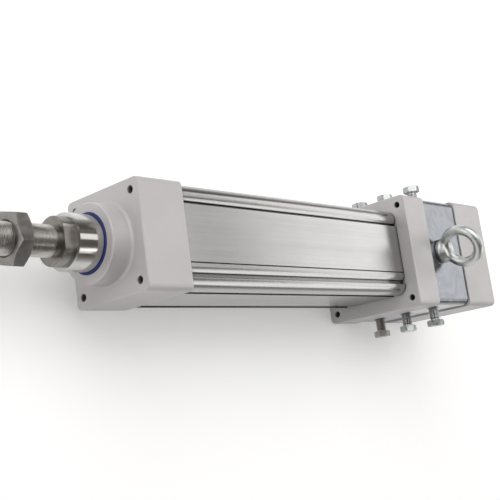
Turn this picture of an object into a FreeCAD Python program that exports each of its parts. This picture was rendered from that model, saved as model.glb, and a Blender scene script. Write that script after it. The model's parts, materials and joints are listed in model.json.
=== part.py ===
# Electric linear actuator: a profile tube between a square head and a square rear flange,
# a planetary roller screw inside, and a coupling housing with a motor adapter behind.
# X runs along the rod towards its tip, and Z points up, the way the lifting eye stands.
# The origin is on the rod's axis, in the plane of the head's front bolt holes. Millimetres.

import FreeCAD, Part
import math
import operator
import os
import types

import Sketcher
from FreeCAD import Vector

DRIVING_SIZES = {
    # clearances
    "fit_gap": 0.05,
    "run_gap": 0.08,
    "free_gap": 0.3,
    # head
    "head_width": 140,
    "head_length": 72,
    "head_edge_radius": 8,
    "edge_break": 1.2,
    "nose_dia": 100,
    "nose_length": 29,
    "nose_chamfer": 1.5,
    "nose_root_radius": 4,
    "front_bolt_pitch": 110,
    "front_bolt_bore": 10.2,
    "front_bolt_depth": 26,
    "bolt_countersink": 1.4,
    "drill_tip": 3,
    # head fittings
    "bush_wall": 5,
    "bush_length": 48,
    "rod_seal_section": 7,
    "rod_seal_width": 10,
    "rod_seal_setback": 16,
    "rod_seal_groove": 2.4,
    "rod_passage_gap": 0.6,
    "wiper_wall": 3.1,
    "wiper_depth": 8,
    "wiper_lip": 1,
    "wiper_lip_wall": 1,
    # profile tube
    "cylinder_bore": 112,
    "profile_wall": 12,
    "profile_corner_radius": 12.5,
    "narrow_groove_offset": 43.2,
    "narrow_groove_mouth": 4.5,
    "wide_groove_offset": 49.4,
    "wide_groove_mouth": 5.6,
    "groove_floor": 1.2,
    "groove_depth": 6,
    "line_offset": 33.6,
    "line_mouth": 1.8,
    "line_floor": 0.4,
    "line_depth": 1.6,
    "keyway_width": 12,
    "keyway_depth": 4,
    # tie rods
    "tie_rod_dia": 12,
    "tie_rod_channel": 14,
    "tie_rod_engagement": 28,
    "tie_rod_overhang": 1.5,
    "tie_nut_flats": 18,
    "tie_nut_height": 10.8,
    "tie_washer_dia": 24,
    "tie_washer_thickness": 2.5,
    "tie_counterbore": 26,
    # rear flange
    "housing_width": 180,
    "housing_edge_radius": 9,
    "flange_thickness": 56,
    "flange_bolt_pitch": 150,
    "flange_bolt_bore": 10.2,
    "flange_bolt_depth": 26,
    "spigot_length": 10,
    "o_ring_section": 3,
    "o_ring_groove_width": 4,
    "o_ring_groove_depth": 2.6,
    "damper_thickness": 6,
    "damper_wall": 12,
    # tapered roller bearings
    "bearing_bore": 40,
    "bearing_dia": 80,
    "bearing_width": 18,
    "bearing_shoulder_wall": 9,
    "race_angle": 13,
    "roller_length": 11,
    "roller_large_dia": 8.8,
    "roller_small_dia": 8,
    "roller_rib": 1.5,
    "roller_count": 14,
    "bearing_nut_dia": 58,
    "bearing_nut_width": 8,
    "spanner_slot": 4,
    # bearing cover
    "cover_land": 14,
    "cover_thickness": 10,
    "cover_collar_dia": 72,
    "cover_collar_length": 12,
    "cover_screw_dia": 6,
    "cover_screw_head_dia": 10,
    "cover_screw_head": 6,
    "cover_screw_grip": 14,
    "cover_screw_count": 6,
    "shaft_seal_dia": 56,
    "shaft_seal_width": 8,
    "shaft_seal_journal": 35,
    # coupling housing and what is screwed into it
    "coupling_housing_length": 93,
    "coupling_bore": 115,
    "coupling_set_in": 2,
    "coupling_edge_radius": 12,
    "lift_station": 60,
    "side_bolt_spread": 54,
    "side_bolt_dia": 16,
    "side_bolt_flats": 24,
    "side_bolt_head": 10,
    "side_bolt_stand": 20,
    "far_bolt_station": 66,
    "side_bolt_insert": 20,
    "side_bolt_chamfer": 1.5,
    "side_hole_depth": 25,
    "side_hole_countersink": 3,
    "eye_ring_dia": 56,
    "eye_section_dia": 15,
    "eye_height": 38.5,
    "eye_angle": 28,
    "eye_collar_dia": 40,
    "eye_collar_height": 8,
    "eye_neck_dia": 26,
    "eye_neck_height": 14,
    "eye_thread_dia": 20,
    "eye_thread_length": 25,
    "eye_hole_depth": 26,
    # motor adapter
    "adapter_length": 88,
    "adapter_back_radius": 8,
    "pilot_dia": 130,
    "pilot_depth": 6,
    "motor_bolt_circle": 165,
    "motor_bolt_bore": 8.5,
    "motor_bolt_depth": 22,
    "housing_bolt_pitch": 140,
    "housing_bolt_dia": 12,
    "housing_bolt_clearance": 0.5,
    "housing_bolt_head_dia": 18,
    "housing_bolt_head": 12,
    "housing_bolt_counterbore": 20,
    "housing_bolt_sink": 1,
    "housing_bolt_engagement": 20,
    "housing_bolt_socket": 10,
    "housing_bolt_socket_depth": 6,
    # screw and its shaft ends
    "stroke": 265,
    "stop_gap": 4,
    "screw_dia": 44,
    "screw_runout": 1,
    "tip_journal_dia": 30,
    "tip_guide_width": 12,
    "drive_dia": 32,
    # shaft coupling
    "hub_dia": 80,
    "hub_length": 40,
    "hub_setback": 16,
    "hub_gap": 20,
    "jaw_length": 18,
    "jaw_root_dia": 36,
    "jaw_angle": 44,
    "spider_leg_angle": 15,
    "spider_width": 18,
    "spider_bore": 24,
    "motor_shaft_dia": 32,
    "clamp_slit": 2,
    "clamp_screw_offset": 28,
    "clamp_screw_dia": 8,
    "clamp_screw_head_dia": 13,
    "clamp_screw_head": 8,
    "clamp_screw_seat": 12,
    "clamp_screw_grip": 26,
    # rod
    "rod_dia": 70,
    "rod_bore": 50,
    "rod_reach": 66,
    "rod_chamfer": 1.5,
    "rod_seat_depth": 42,
    "rod_plug_length": 40,
    "rod_collar_dia": 60,
    "rod_collar_flats": 52,
    "rod_collar_length": 14,
    "lock_nut_chamfer": 3.4,
    "stud_dia": 39,
    "stud_length": 94,
    "stud_neck_dia": 38.6,
    "stud_chamfer": 2.5,
    "lock_nut_flats": 60,
    "lock_nut_height": 19.5,
    "lock_nut_stand": 43.5,
    "lock_nut_angle": 15,
    # nut carrier
    "carrier_length": 60,
    "carrier_gap": 0.4,
    "guide_ring_width": 16,
    "guide_ring_depth": 3,
    "guide_ring_setback": 4,
    "magnet_width": 6,
    "magnet_depth": 5,
    "magnet_setback": 23,
    "key_length": 25,
    "key_seat_depth": 8,
    "key_setback": 3,
    # roller nut
    "nut_length": 98,
    "nut_body_dia": 80,
    "nut_flange_dia": 109,
    "nut_flange_thickness": 16,
    "nut_bore": 66,
    "nut_recess_dia": 74,
    "nut_screw_circle": 95,
    "nut_screw_dia": 8,
    "nut_screw_head_dia": 13,
    "nut_screw_head": 8,
    "nut_screw_grip": 18,
    "nut_screw_count": 8,
    "nut_wiper_width": 3.7,
    "cage_thickness": 4,
    "cage_wall_gap": 0.5,
    "ring_gear_width": 8,
    "planet_dia": 10.6,
    "planet_journal_dia": 5,
    "planet_count": 11,
}

CORNERS = 4
HEX_SIDES = 6
JAWS_PER_HUB = 3
BEARINGS = 2
BOLT_TURN_STEP = 15.0
FULL_TURN = 360
HALF_TURN = 180
SAME_PLACE = 1e-6
# A hexagon's round end face is this share of its width across flats
HEX_FACE_SHARE = 0.97
ROOT_THREE = math.sqrt(3)
ROOT_TWO = math.sqrt(2)

DOC = FreeCAD.newDocument("LinearActuator")
SHEET = DOC.addObject("Spreadsheet::Sheet", "Sizes")
PARTS = []


class Size:
    """A number together with the sheet formula that gives it."""

    SIGNS = {"+": operator.add, "-": operator.sub, "*": operator.mul, "/": operator.truediv}

    def __init__(self, value, formula):
        self.value = value
        self.formula = formula

    @staticmethod
    def of(item):
        return item if isinstance(item, Size) else Size(item, repr(item))

    @staticmethod
    def combine(left, sign, right):
        left = Size.of(left)
        right = Size.of(right)
        value = Size.SIGNS[sign](left.value, right.value)
        return Size(value, f"({left.formula} {sign} {right.formula})")

    def __add__(self, other):
        return Size.combine(self, "+", other)

    def __radd__(self, other):
        return Size.combine(other, "+", self)

    def __sub__(self, other):
        return Size.combine(self, "-", other)

    def __rsub__(self, other):
        return Size.combine(other, "-", self)

    def __mul__(self, other):
        return Size.combine(self, "*", other)

    def __rmul__(self, other):
        return Size.combine(other, "*", self)

    def __truediv__(self, other):
        return Size.combine(self, "/", other)

    def __rtruediv__(self, other):
        return Size.combine(other, "/", self)

    def __neg__(self):
        return Size.combine(0, "-", self)


def cosine(angle):
    angle = Size.of(angle)
    return Size(math.cos(math.radians(angle.value)), f"cos({angle.formula})")


def sine(angle):
    angle = Size.of(angle)
    return Size(math.sin(math.radians(angle.value)), f"sin({angle.formula})")


def fill_sheet():
    """Write the driving sizes to the sheet and return them by name."""
    for row, (name, value) in enumerate(DRIVING_SIZES.items(), 1):
        SHEET.set(f"A{row}", name)
        SHEET.set(f"B{row}", str(value))
        SHEET.setAlias(f"B{row}", name)
    DOC.recompute()
    return types.SimpleNamespace(
        **{name: Size(value, f"Sizes.{name}") for name, value in DRIVING_SIZES.items()}
    )


S = fill_sheet()

# Stations along the rod's axis, from the front to the back
CARRIAGE_LENGTH = S.nut_length + S.carrier_length
END_STOP = S.spigot_length + S.damper_thickness
PROFILE_LENGTH = S.stroke + CARRIAGE_LENGTH + 2 * END_STOP + 2 * S.stop_gap
PROFILE_FRONT = -S.head_length
PROFILE_BACK = PROFILE_FRONT - PROFILE_LENGTH
FLANGE_BACK = PROFILE_BACK - S.flange_thickness
COUPLING_BACK = FLANGE_BACK - S.coupling_housing_length
ADAPTER_BACK = COUPLING_BACK - S.adapter_length
NUT_BACK = PROFILE_BACK + END_STOP + S.stop_gap
CARRIER_BACK = NUT_BACK + S.nut_length
CARRIER_FRONT = CARRIER_BACK + S.carrier_length
ROD_BACK = CARRIER_FRONT - S.rod_seat_depth
STUD_BACK = S.rod_reach + S.rod_collar_length
BEARING_BACK = FLANGE_BACK + S.cover_thickness
BEARING_FRONT = BEARING_BACK + BEARINGS * S.bearing_width
THREAD_FRONT = CARRIER_BACK + S.stroke + S.screw_runout
MOTOR_HUB_BACK = ADAPTER_BACK + S.hub_setback
MOTOR_HUB_FRONT = MOTOR_HUB_BACK + S.hub_length
SCREW_HUB_BACK = MOTOR_HUB_FRONT + S.hub_gap
LIFT_X = COUPLING_BACK + S.lift_station

# Radii that more than one piece takes
BORE_RADIUS = S.cylinder_bore / 2
PROFILE_HALF = BORE_RADIUS + S.profile_wall
ROD_RADIUS = S.rod_dia / 2
SPIGOT_RADIUS = BORE_RADIUS - S.fit_gap
O_RING_FLOOR = SPIGOT_RADIUS - S.o_ring_groove_depth
BUSH_RADIUS = ROD_RADIUS + S.bush_wall
SEAL_RADIUS = ROD_RADIUS + S.rod_seal_section
WIPER_RADIUS = ROD_RADIUS + S.wiper_wall
COVER_RADIUS = S.bearing_dia / 2 + S.cover_land
COVER_SCREW_RADIUS = S.bearing_dia / 2 + S.cover_land / 2
SCREW_RADIUS = S.screw_dia / 2
PLANET_ORBIT = (S.screw_dia + S.nut_bore) / 4
PLANET_RADIUS = S.planet_dia / 2
TIE_SEAT = S.tie_washer_thickness + S.tie_nut_height + S.tie_rod_overhang
COUPLING_HALF = S.housing_width / 2 - S.coupling_set_in
CARRIER_RADIUS = BORE_RADIUS - S.carrier_gap
GUIDE_FLOOR = BORE_RADIUS - S.run_gap - S.guide_ring_depth
MAGNET_FLOOR = CARRIER_RADIUS - S.magnet_depth
KEY_FLOOR = CARRIER_RADIUS - S.key_seat_depth


def number(item):
    return item.value if isinstance(item, Size) else item


def is_zero(item):
    return not isinstance(item, Size) and item == 0


def plus(left, right):
    """Add two sizes, and keep a plain zero plain."""
    if is_zero(left):
        return right
    if is_zero(right):
        return left
    return left + right


def new_body(label, station=0):
    """Start a sub-part whose own origin lies at a station on the rod's axis."""
    body = DOC.addObject("PartDesign::Body", label)
    body.Label = label
    if not is_zero(station):
        body.setExpression("Placement.Base.x", station.formula)
    PARTS.append(body)
    return body


def origin_feature(body, role):
    return next(item for item in body.Origin.OriginFeatures if item.Role == role)


def tie_point(sketch, line, end, point):
    """Tie one end of a sketch line to its two sizes."""
    for axis, kind, size in ((-2, "DistanceX", point[0]), (-1, "DistanceY", point[1])):
        if is_zero(size):
            sketch.addConstraint(Sketcher.Constraint("PointOnObject", line, end, axis))
            continue
        size = Size.of(size)
        index = sketch.addConstraint(Sketcher.Constraint(kind, -1, 1, line, end, size.value))
        sketch.setExpression(f"Constraints[{index}]", size.formula)


def new_sketch(body, name, plane, offset=0):
    sketch = body.newObject("Sketcher::SketchObject", name)
    sketch.AttachmentSupport = (origin_feature(body, plane), [""])
    sketch.MapMode = "FlatFace"
    if not is_zero(offset):
        sketch.setExpression("AttachmentOffset.Base.z", Size.of(offset).formula)
    return sketch


def add_line(sketch, start, end, construction=False):
    places = [Vector(number(x), number(y), 0) for x, y in (start, end)]
    return sketch.addGeometry(Part.LineSegment(*places), construction)


def add_loop(sketch, points):
    """Draw a closed outline of straight lines, with every corner tied to its sizes."""
    following = points[1:] + points[:1]
    lines = [add_line(sketch, start, end) for start, end in zip(points, following)]
    for line, after in zip(lines, lines[1:] + lines[:1]):
        sketch.addConstraint(Sketcher.Constraint("Coincident", line, 2, after, 1))
    for line, point in zip(lines, points):
        tie_point(sketch, line, 1, point)


def outline(body, name, plane, offset, *loops):
    sketch = new_sketch(body, name, plane, offset)
    for points in loops:
        add_loop(sketch, points)
    return sketch


def finish(body, feature):
    body.Tip = feature
    DOC.recompute()
    return feature


def turned(body, name, points, cut=False, along="X", centre=(0, 0)):
    """Turn an outline of (place along the axis, radius) about an axis through a centre."""
    across, depth = centre
    start = points[0][0]
    end = next(place for place, _ in points if number(place) != number(start))
    plane = "XY_Plane"
    if along == "Z":
        plane = "XZ_Plane"
        depth = depth if is_zero(depth) else -depth

    def spot(place, radius):
        side = plus(across, radius)
        return (place, side) if along == "X" else (side, place)

    sketch = new_sketch(body, name + "Outline", plane, depth)
    add_loop(sketch, [spot(*point) for point in points])
    axis = [spot(start, 0), spot(end, 0)]
    line = add_line(sketch, *axis, construction=True)
    tie_point(sketch, line, 1, axis[0])
    tie_point(sketch, line, 2, axis[1])
    kind = "PartDesign::Groove" if cut else "PartDesign::Revolution"
    feature = body.newObject(kind, name)
    feature.Profile = sketch
    feature.ReferenceAxis = (sketch, ["Axis0"])
    feature.Angle = FULL_TURN
    return finish(body, feature)


def extruded(body, name, sketch, length, cut=False, towards_normal=True, both_ways=False):
    """Pad or pocket a sketch along its normal, against it, or half each way."""
    feature = body.newObject("PartDesign::Pocket" if cut else "PartDesign::Pad", name)
    feature.Profile = sketch
    feature.setExpression("Length", Size.of(length).formula)
    feature.Reversed = cut == towards_normal
    feature.SideType = "Symmetric" if both_ways else "One side"
    return finish(body, feature)


def ring_of(body, name, features, count):
    """Repeat features round the rod's axis."""
    pattern = body.newObject("PartDesign::PolarPattern", name)
    pattern.Originals = features
    pattern.Axis = (origin_feature(body, "X_Axis"), [""])
    pattern.Angle = FULL_TURN
    if isinstance(count, Size):
        pattern.setExpression("Occurrences", count.formula)
    else:
        pattern.Occurrences = count
    return finish(body, pattern)


def edges_at(shape, places):
    """Names of the edges that lie whole in one of the planes across X."""
    names = []
    for index, edge in enumerate(shape.Edges, 1):
        box = edge.BoundBox
        flat = box.XLength < SAME_PLACE
        if flat and any(abs(box.XMin - place) < SAME_PLACE for place in places):
            names.append(f"Edge{index}")
    return names


def circles_at(shape, place, radius):
    """Names of the circles of one radius in a plane across X."""
    names = []
    for name in edges_at(shape, [place]):
        curve = shape.getElement(name).Curve
        if isinstance(curve, Part.Circle) and abs(curve.Radius - radius) < SAME_PLACE:
            names.append(name)
    return names


def edge_feature(body, kind, name, size_name, size, base, edges):
    feature = body.newObject(kind, name)
    feature.Base = (base, edges)
    feature.setExpression(size_name, size.formula)
    return finish(body, feature)


def square(half):
    return [(-half, -half), (half, -half), (half, half), (-half, half)]


def block(label, station, length, width, edge_radius):
    """A square block along X with rounded long edges."""
    body = new_body(label, station)
    section = outline(body, "Section", "YZ_Plane", 0, square(width / 2))
    pad = extruded(body, "Block", section, length)
    long_edges = [
        f"Edge{index}"
        for index, edge in enumerate(pad.Shape.Edges, 1)
        if edge.BoundBox.XLength > number(length) / 2
    ]
    edge_feature(body, "PartDesign::Fillet", "LongEdges", "Radius", edge_radius, pad, long_edges)
    return body


def break_edges(body, places, size):
    """Chamfer the outer edges of a block's end faces."""
    base = body.Tip
    edges = edges_at(base.Shape, [number(place) for place in places])
    edge_feature(body, "PartDesign::Chamfer", "EndEdges", "Size", size, base, edges)


def hexagon(flats, turn=0):
    """Corners of a hexagon, the first one at an angle of turn from the first axis."""
    radius = flats / ROOT_THREE
    angles = [turn + FULL_TURN / HEX_SIDES * side for side in range(HEX_SIDES)]
    return [(radius * cosine(angle), radius * sine(angle)) for angle in angles]


def hex_corner_cut(flats, face, chamfer_end):
    """Outline that takes the corners off a hexagon towards one of its faces."""
    corner = flats / ROOT_THREE + S.free_gap
    inner = flats / 2 * HEX_FACE_SHARE
    return [(face, inner), (chamfer_end, corner), (face, corner)]


def ring_outline(back, front, inner, outer):
    return [(back, inner), (front, inner), (front, outer), (back, outer)]


def rod_outline(back, front, radius, chamfer):
    """Outline of a plain bar with a chamfer at its front end."""
    forward = 1 if number(front) > number(back) else -1
    return [
        (back, 0),
        (front, 0),
        (front, radius - chamfer),
        (front - forward * chamfer, radius),
        (back, radius),
    ]


def blind_hole(mouth, floor, tip, radius, countersink=None):
    """Outline of a drilled hole with a pointed floor, and a countersunk mouth if one is given."""
    inward = 1 if number(floor) > number(mouth) else -1
    hole = [(mouth, 0), (floor + inward * tip, 0), (floor, radius)]
    if countersink is None:
        return hole + [(mouth, radius)]
    return hole + [(mouth + inward * countersink, radius), (mouth, radius + countersink)]


def spigot_outline(face, end, inner):
    """Spigot with a ring groove; inner is the radius where it starts."""
    outward = 1 if number(end) > number(face) else -1
    groove_start = face + outward * (S.spigot_length - S.o_ring_groove_width) / 2
    groove_end = groove_start + outward * S.o_ring_groove_width
    return [
        (face, inner),
        (end, inner),
        (end, SPIGOT_RADIUS - S.edge_break),
        (end - outward * S.edge_break, SPIGOT_RADIUS),
        (groove_end, SPIGOT_RADIUS),
        (groove_end, O_RING_FLOOR),
        (groove_start, O_RING_FLOOR),
        (groove_start, SPIGOT_RADIUS),
        (face, SPIGOT_RADIUS),
    ]


def front_head():
    body = block("front_head", PROFILE_FRONT, S.head_length, S.head_width, S.head_edge_radius)
    face = S.head_length
    break_edges(body, [0, face], S.edge_break)
    tip = face + S.nose_length
    nose = S.nose_dia / 2
    boss = turned(
        body,
        "Nose",
        [
            (face, 0),
            (tip, 0),
            (tip, nose - S.nose_chamfer),
            (tip - S.nose_chamfer, nose),
            (face, nose),
        ],
    )
    root = circles_at(boss.Shape, number(face), number(nose))
    edge_feature(
        body, "PartDesign::Fillet", "NoseRoot", "Radius", S.nose_root_radius, boss, root
    )
    turned(body, "Spigot", spigot_outline(Size.of(0.0), -S.spigot_length, 0))
    passage = ROD_RADIUS + S.rod_passage_gap
    bush_front = S.bush_length - S.spigot_length
    seal_front = tip - S.wiper_depth - S.rod_seal_setback + S.rod_seal_width
    seal_back = seal_front - S.rod_seal_width
    turned(
        body,
        "Bore",
        [
            (-S.spigot_length, 0),
            (tip, 0),
            (tip, WIPER_RADIUS),
            (tip - S.wiper_depth, WIPER_RADIUS),
            (tip - S.wiper_depth, passage),
            (seal_front, passage),
            (seal_front, SEAL_RADIUS),
            (seal_back, SEAL_RADIUS),
            (seal_back, passage),
            (bush_front, passage),
            (bush_front, BUSH_RADIUS),
            (-S.spigot_length, BUSH_RADIUS),
        ],
        cut=True,
    )
    corner = (S.front_bolt_pitch / 2, S.front_bolt_pitch / 2)
    front_hole = blind_hole(
        face, face - S.front_bolt_depth, S.drill_tip, S.front_bolt_bore / 2
    )
    hole = turned(body, "FrontHole", front_hole, cut=True, centre=corner)
    ring_of(body, "FrontHoles", [hole], CORNERS)
    stud_hole = blind_hole(
        Size.of(0.0),
        S.tie_rod_engagement + S.fit_gap,
        S.drill_tip,
        S.tie_rod_dia / 2 + S.fit_gap,
        S.bolt_countersink,
    )
    stud = turned(body, "StudHole", stud_hole, cut=True, centre=corner)
    ring_of(body, "StudHoles", [stud], CORNERS)


def head_fittings():
    tip = S.nose_length
    lip = ROD_RADIUS + S.run_gap
    bush_back = PROFILE_FRONT - S.spigot_length
    bush = new_body("guide_bush", bush_back)
    turned(bush, "Bush", ring_outline(0, S.bush_length, lip, BUSH_RADIUS - S.fit_gap))
    seal_back = tip - S.wiper_depth - S.rod_seal_setback
    seal = new_body("rod_seal", seal_back)
    outer = SEAL_RADIUS - S.fit_gap
    middle = (lip + outer) / 2
    groove = S.rod_seal_groove / 2
    turned(
        seal,
        "CupSeal",
        [
            (S.rod_seal_width, lip),
            (S.rod_seal_width, outer),
            (0, outer),
            (0, middle + groove),
            (S.rod_seal_width / 2, middle),
            (0, middle - groove),
            (0, lip),
        ],
    )
    wiper = new_body("rod_wiper", tip - S.wiper_depth)
    wiper_outer = WIPER_RADIUS - S.fit_gap
    front = S.wiper_depth + S.wiper_lip
    turned(
        wiper,
        "Wiper",
        [
            (0, lip),
            (front, lip),
            (front, lip + S.wiper_lip_wall),
            (S.wiper_depth, wiper_outer),
            (0, wiper_outer),
        ],
    )


def face_groove(centre, mouth, floor, depth):
    """Tapered groove in a face of the profile, whose slope carries on past the face."""
    over = S.edge_break
    flare = mouth / 2 + (mouth - floor) / 2 / depth * over
    return [
        (centre - flare, PROFILE_HALF + over),
        (centre - floor / 2, PROFILE_HALF - depth),
        (centre + floor / 2, PROFILE_HALF - depth),
        (centre + flare, PROFILE_HALF + over),
    ]


def profile_tube():
    width = 2 * PROFILE_HALF
    body = block("profile_tube", PROFILE_BACK, PROFILE_LENGTH, width, S.profile_corner_radius)
    # Every face has the same grooves, a quarter turn on from those of the face before
    grooves = [
        face_groove(
            -S.narrow_groove_offset, S.narrow_groove_mouth, S.groove_floor, S.groove_depth
        ),
        face_groove(S.line_offset, S.line_mouth, S.line_floor, S.line_depth),
        face_groove(S.wide_groove_offset, S.wide_groove_mouth, S.groove_floor, S.groove_depth),
    ]
    face_sketch = outline(body, "FaceSection", "YZ_Plane", 0, *grooves)
    face_cut = extruded(body, "FaceGrooves", face_sketch, PROFILE_LENGTH, cut=True)
    ring_of(body, "AllFaces", [face_cut], CORNERS)
    turned(body, "Bore", ring_outline_solid(PROFILE_LENGTH, BORE_RADIUS), cut=True)
    key_half = S.keyway_width / 2
    keyways = [
        [
            (side * (BORE_RADIUS - S.keyway_depth), -key_half),
            (side * (BORE_RADIUS + S.keyway_depth), -key_half),
            (side * (BORE_RADIUS + S.keyway_depth), key_half),
            (side * (BORE_RADIUS - S.keyway_depth), key_half),
        ]
        for side in (-1, 1)
    ]
    key_sketch = outline(body, "KeywaySection", "YZ_Plane", 0, *keyways)
    extruded(body, "Keyways", key_sketch, PROFILE_LENGTH, cut=True)
    corner = (S.front_bolt_pitch / 2, S.front_bolt_pitch / 2)
    channel = turned(
        body,
        "TieChannel",
        ring_outline_solid(PROFILE_LENGTH, S.tie_rod_channel / 2),
        cut=True,
        centre=corner,
    )
    ring_of(body, "TieChannels", [channel], CORNERS)


def ring_outline_solid(length, radius):
    return [(0, 0), (length, 0), (length, radius), (0, radius)]


def tie_rods():
    corner = (S.front_bolt_pitch / 2, S.front_bolt_pitch / 2)
    front = PROFILE_FRONT + S.tie_rod_engagement
    seat = FLANGE_BACK + TIE_SEAT
    nut_front = seat - S.tie_washer_thickness
    nut_back = nut_front - S.tie_nut_height
    rod_back = nut_back - S.tie_rod_overhang / 2
    rods = new_body("tie_rods", rod_back)
    rod = turned(
        rods,
        "Rod",
        rod_outline(0, front - rod_back, S.tie_rod_dia / 2, S.edge_break),
        centre=corner,
    )
    ring_of(rods, "Rods", [rod], CORNERS)
    hole = S.tie_rod_dia / 2 + S.fit_gap
    washers = new_body("tie_rod_washers", nut_front)
    washer = turned(
        washers,
        "Washer",
        ring_outline(0, S.tie_washer_thickness, hole, S.tie_washer_dia / 2),
        centre=corner,
    )
    ring_of(washers, "Washers", [washer], CORNERS)
    nuts = new_body("tie_rod_nuts", nut_back)
    offset = S.front_bolt_pitch / 2
    corners = [(offset + y, offset + z) for y, z in hexagon(S.tie_nut_flats)]
    nut = extruded(nuts, "Nut", outline(nuts, "Hexagon", "YZ_Plane", 0, corners), S.tie_nut_height)
    thread = turned(
        nuts, "Thread", ring_outline_solid(S.tie_nut_height, hole), cut=True, centre=corner
    )
    ring_of(nuts, "Nuts", [nut, thread], CORNERS)


def rear_flange():
    body = block(
        "rear_flange", FLANGE_BACK, S.flange_thickness, S.housing_width, S.housing_edge_radius
    )
    face = S.flange_thickness
    break_edges(body, [0, face], S.edge_break)
    spigot_end = face + S.spigot_length
    turned(body, "Spigot", spigot_outline(face, spigot_end, 0))
    bearing = S.bearing_dia / 2 + S.fit_gap
    bearing_back = S.cover_thickness
    bearing_front = bearing_back + BEARINGS * S.bearing_width
    cover = COVER_RADIUS + S.fit_gap
    shoulder = S.bearing_dia / 2 - S.bearing_shoulder_wall
    turned(
        body,
        "Bore",
        [
            (0, 0),
            (spigot_end, 0),
            (spigot_end, shoulder),
            (bearing_front, shoulder),
            (bearing_front, bearing),
            (bearing_back, bearing),
            (bearing_back, cover),
            (0, cover),
        ],
        cut=True,
    )
    screw_hole = blind_hole(
        bearing_back,
        bearing_back + S.cover_screw_grip + S.free_gap,
        S.drill_tip,
        S.cover_screw_dia / 2 + S.fit_gap,
    )
    hole = turned(body, "CoverHole", screw_hole, cut=True, centre=(COVER_SCREW_RADIUS, 0))
    ring_of(body, "CoverHoles", [hole], S.cover_screw_count)
    tie_corner = (S.front_bolt_pitch / 2, S.front_bolt_pitch / 2)
    tie_clear = S.tie_rod_channel / 2
    tie_hole = turned(
        body,
        "TieHole",
        [
            (0, 0),
            (face, 0),
            (face, tie_clear),
            (TIE_SEAT, tie_clear),
            (TIE_SEAT, S.tie_counterbore / 2),
            (0, S.tie_counterbore / 2),
        ],
        cut=True,
        centre=tie_corner,
    )
    ring_of(body, "TieHoles", [tie_hole], CORNERS)
    flange_hole = blind_hole(
        face, face - S.flange_bolt_depth, S.drill_tip, S.flange_bolt_bore / 2
    )
    flange_corner = (S.flange_bolt_pitch / 2, S.flange_bolt_pitch / 2)
    hole = turned(body, "FlangeHole", flange_hole, cut=True, centre=flange_corner)
    ring_of(body, "FlangeHoles", [hole], CORNERS)
    housing_hole = blind_hole(
        Size.of(0.0),
        S.housing_bolt_engagement + S.free_gap,
        S.drill_tip,
        S.housing_bolt_dia / 2 + S.fit_gap,
    )
    housing_corner = (S.housing_bolt_pitch / 2, S.housing_bolt_pitch / 2)
    hole = turned(body, "HousingHole", housing_hole, cut=True, centre=housing_corner)
    ring_of(body, "HousingHoles", [hole], CORNERS)


def seals_and_dampers():
    """Rings on the two spigots, and the soft stops at the ends of the stroke."""
    middle = S.spigot_length / 2
    head_face = PROFILE_FRONT - S.spigot_length
    flange_face = PROFILE_BACK + S.spigot_length
    half = S.o_ring_section / 2
    ring_radius = O_RING_FLOOR + half
    for label, station in (
        ("head_o_ring", PROFILE_FRONT - middle),
        ("flange_o_ring", PROFILE_BACK + middle),
    ):
        ring = DOC.addObject("Part::Torus", label)
        ring.Label = label
        ring.Placement.Rotation = FreeCAD.Rotation(Vector(0, 1, 0), 90)
        ring.setExpression("Radius1", (ring_radius - S.fit_gap).formula)
        ring.setExpression("Radius2", (half - S.free_gap).formula)
        ring.setExpression("Placement.Base.x", station.formula)
        PARTS.append(ring)
    for label, station in (
        ("front_damper", head_face - S.damper_thickness),
        ("rear_damper", flange_face),
    ):
        damper = new_body(label, station)
        outer = SPIGOT_RADIUS - S.edge_break
        turned(
            damper,
            "Damper",
            ring_outline(0, S.damper_thickness, outer - S.damper_wall, outer),
        )


def race_point(middle, side, along, across):
    """Point of a bearing in its roller's own directions, from the roller's middle."""
    pitch = (S.bearing_bore + S.bearing_dia) / 4
    cos_tilt = cosine(S.race_angle)
    sin_tilt = sine(S.race_angle)
    place = middle + side * (along * cos_tilt - across * sin_tilt)
    return (place, pitch + along * sin_tilt + across * cos_tilt)


def bearings():
    outer_rings = new_body("bearing_outer_rings", BEARING_BACK)
    inner_rings = new_body("bearing_inner_rings", BEARING_BACK)
    rollers = new_body("bearing_rollers", BEARING_BACK)
    half = S.roller_length / 2
    large = S.roller_large_dia / 2
    small = S.roller_small_dia / 2
    gap = S.free_gap / 2
    bore = S.bearing_bore / 2
    rim = S.bearing_dia / 2
    for index, side in enumerate((-1, 1)):
        middle = (index + 0.5) * S.bearing_width
        wide_end = middle + side * S.bearing_width / 2
        narrow_end = middle - side * (S.bearing_width / 2 - S.fit_gap)
        outer_narrow = race_point(middle, side, -half, small + gap)
        outer_wide = race_point(middle, side, half, large + gap)
        turned(
            outer_rings,
            f"OuterRing{index}",
            [
                (narrow_end, rim),
                (wide_end, rim),
                (wide_end, outer_wide[1]),
                outer_wide,
                outer_narrow,
                (narrow_end, outer_narrow[1]),
            ],
        )
        inner_narrow = race_point(middle, side, -half, -(small + gap))
        inner_wide = race_point(middle, side, half + gap, -(large + gap))
        rib = race_point(middle, side, half + gap, -S.roller_rib)
        turned(
            inner_rings,
            f"InnerRing{index}",
            [
                (narrow_end, bore),
                (wide_end, bore),
                (wide_end, rib[1]),
                rib,
                inner_wide,
                inner_narrow,
                (narrow_end, inner_narrow[1]),
            ],
        )
        corners = [
            race_point(middle, side, -half, Size.of(0.0)),
            race_point(middle, side, half, Size.of(0.0)),
            race_point(middle, side, half, large),
            race_point(middle, side, -half, small),
        ]
        sketch = outline(rollers, f"Roller{index}Outline", "XY_Plane", 0, corners)
        roller = rollers.newObject("PartDesign::Revolution", f"Roller{index}")
        roller.Profile = sketch
        roller.ReferenceAxis = (sketch, ["Edge1"])
        roller.Angle = FULL_TURN
        finish(rollers, roller)
        ring_of(rollers, f"RollerSet{index}", [roller], S.roller_count)


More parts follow.
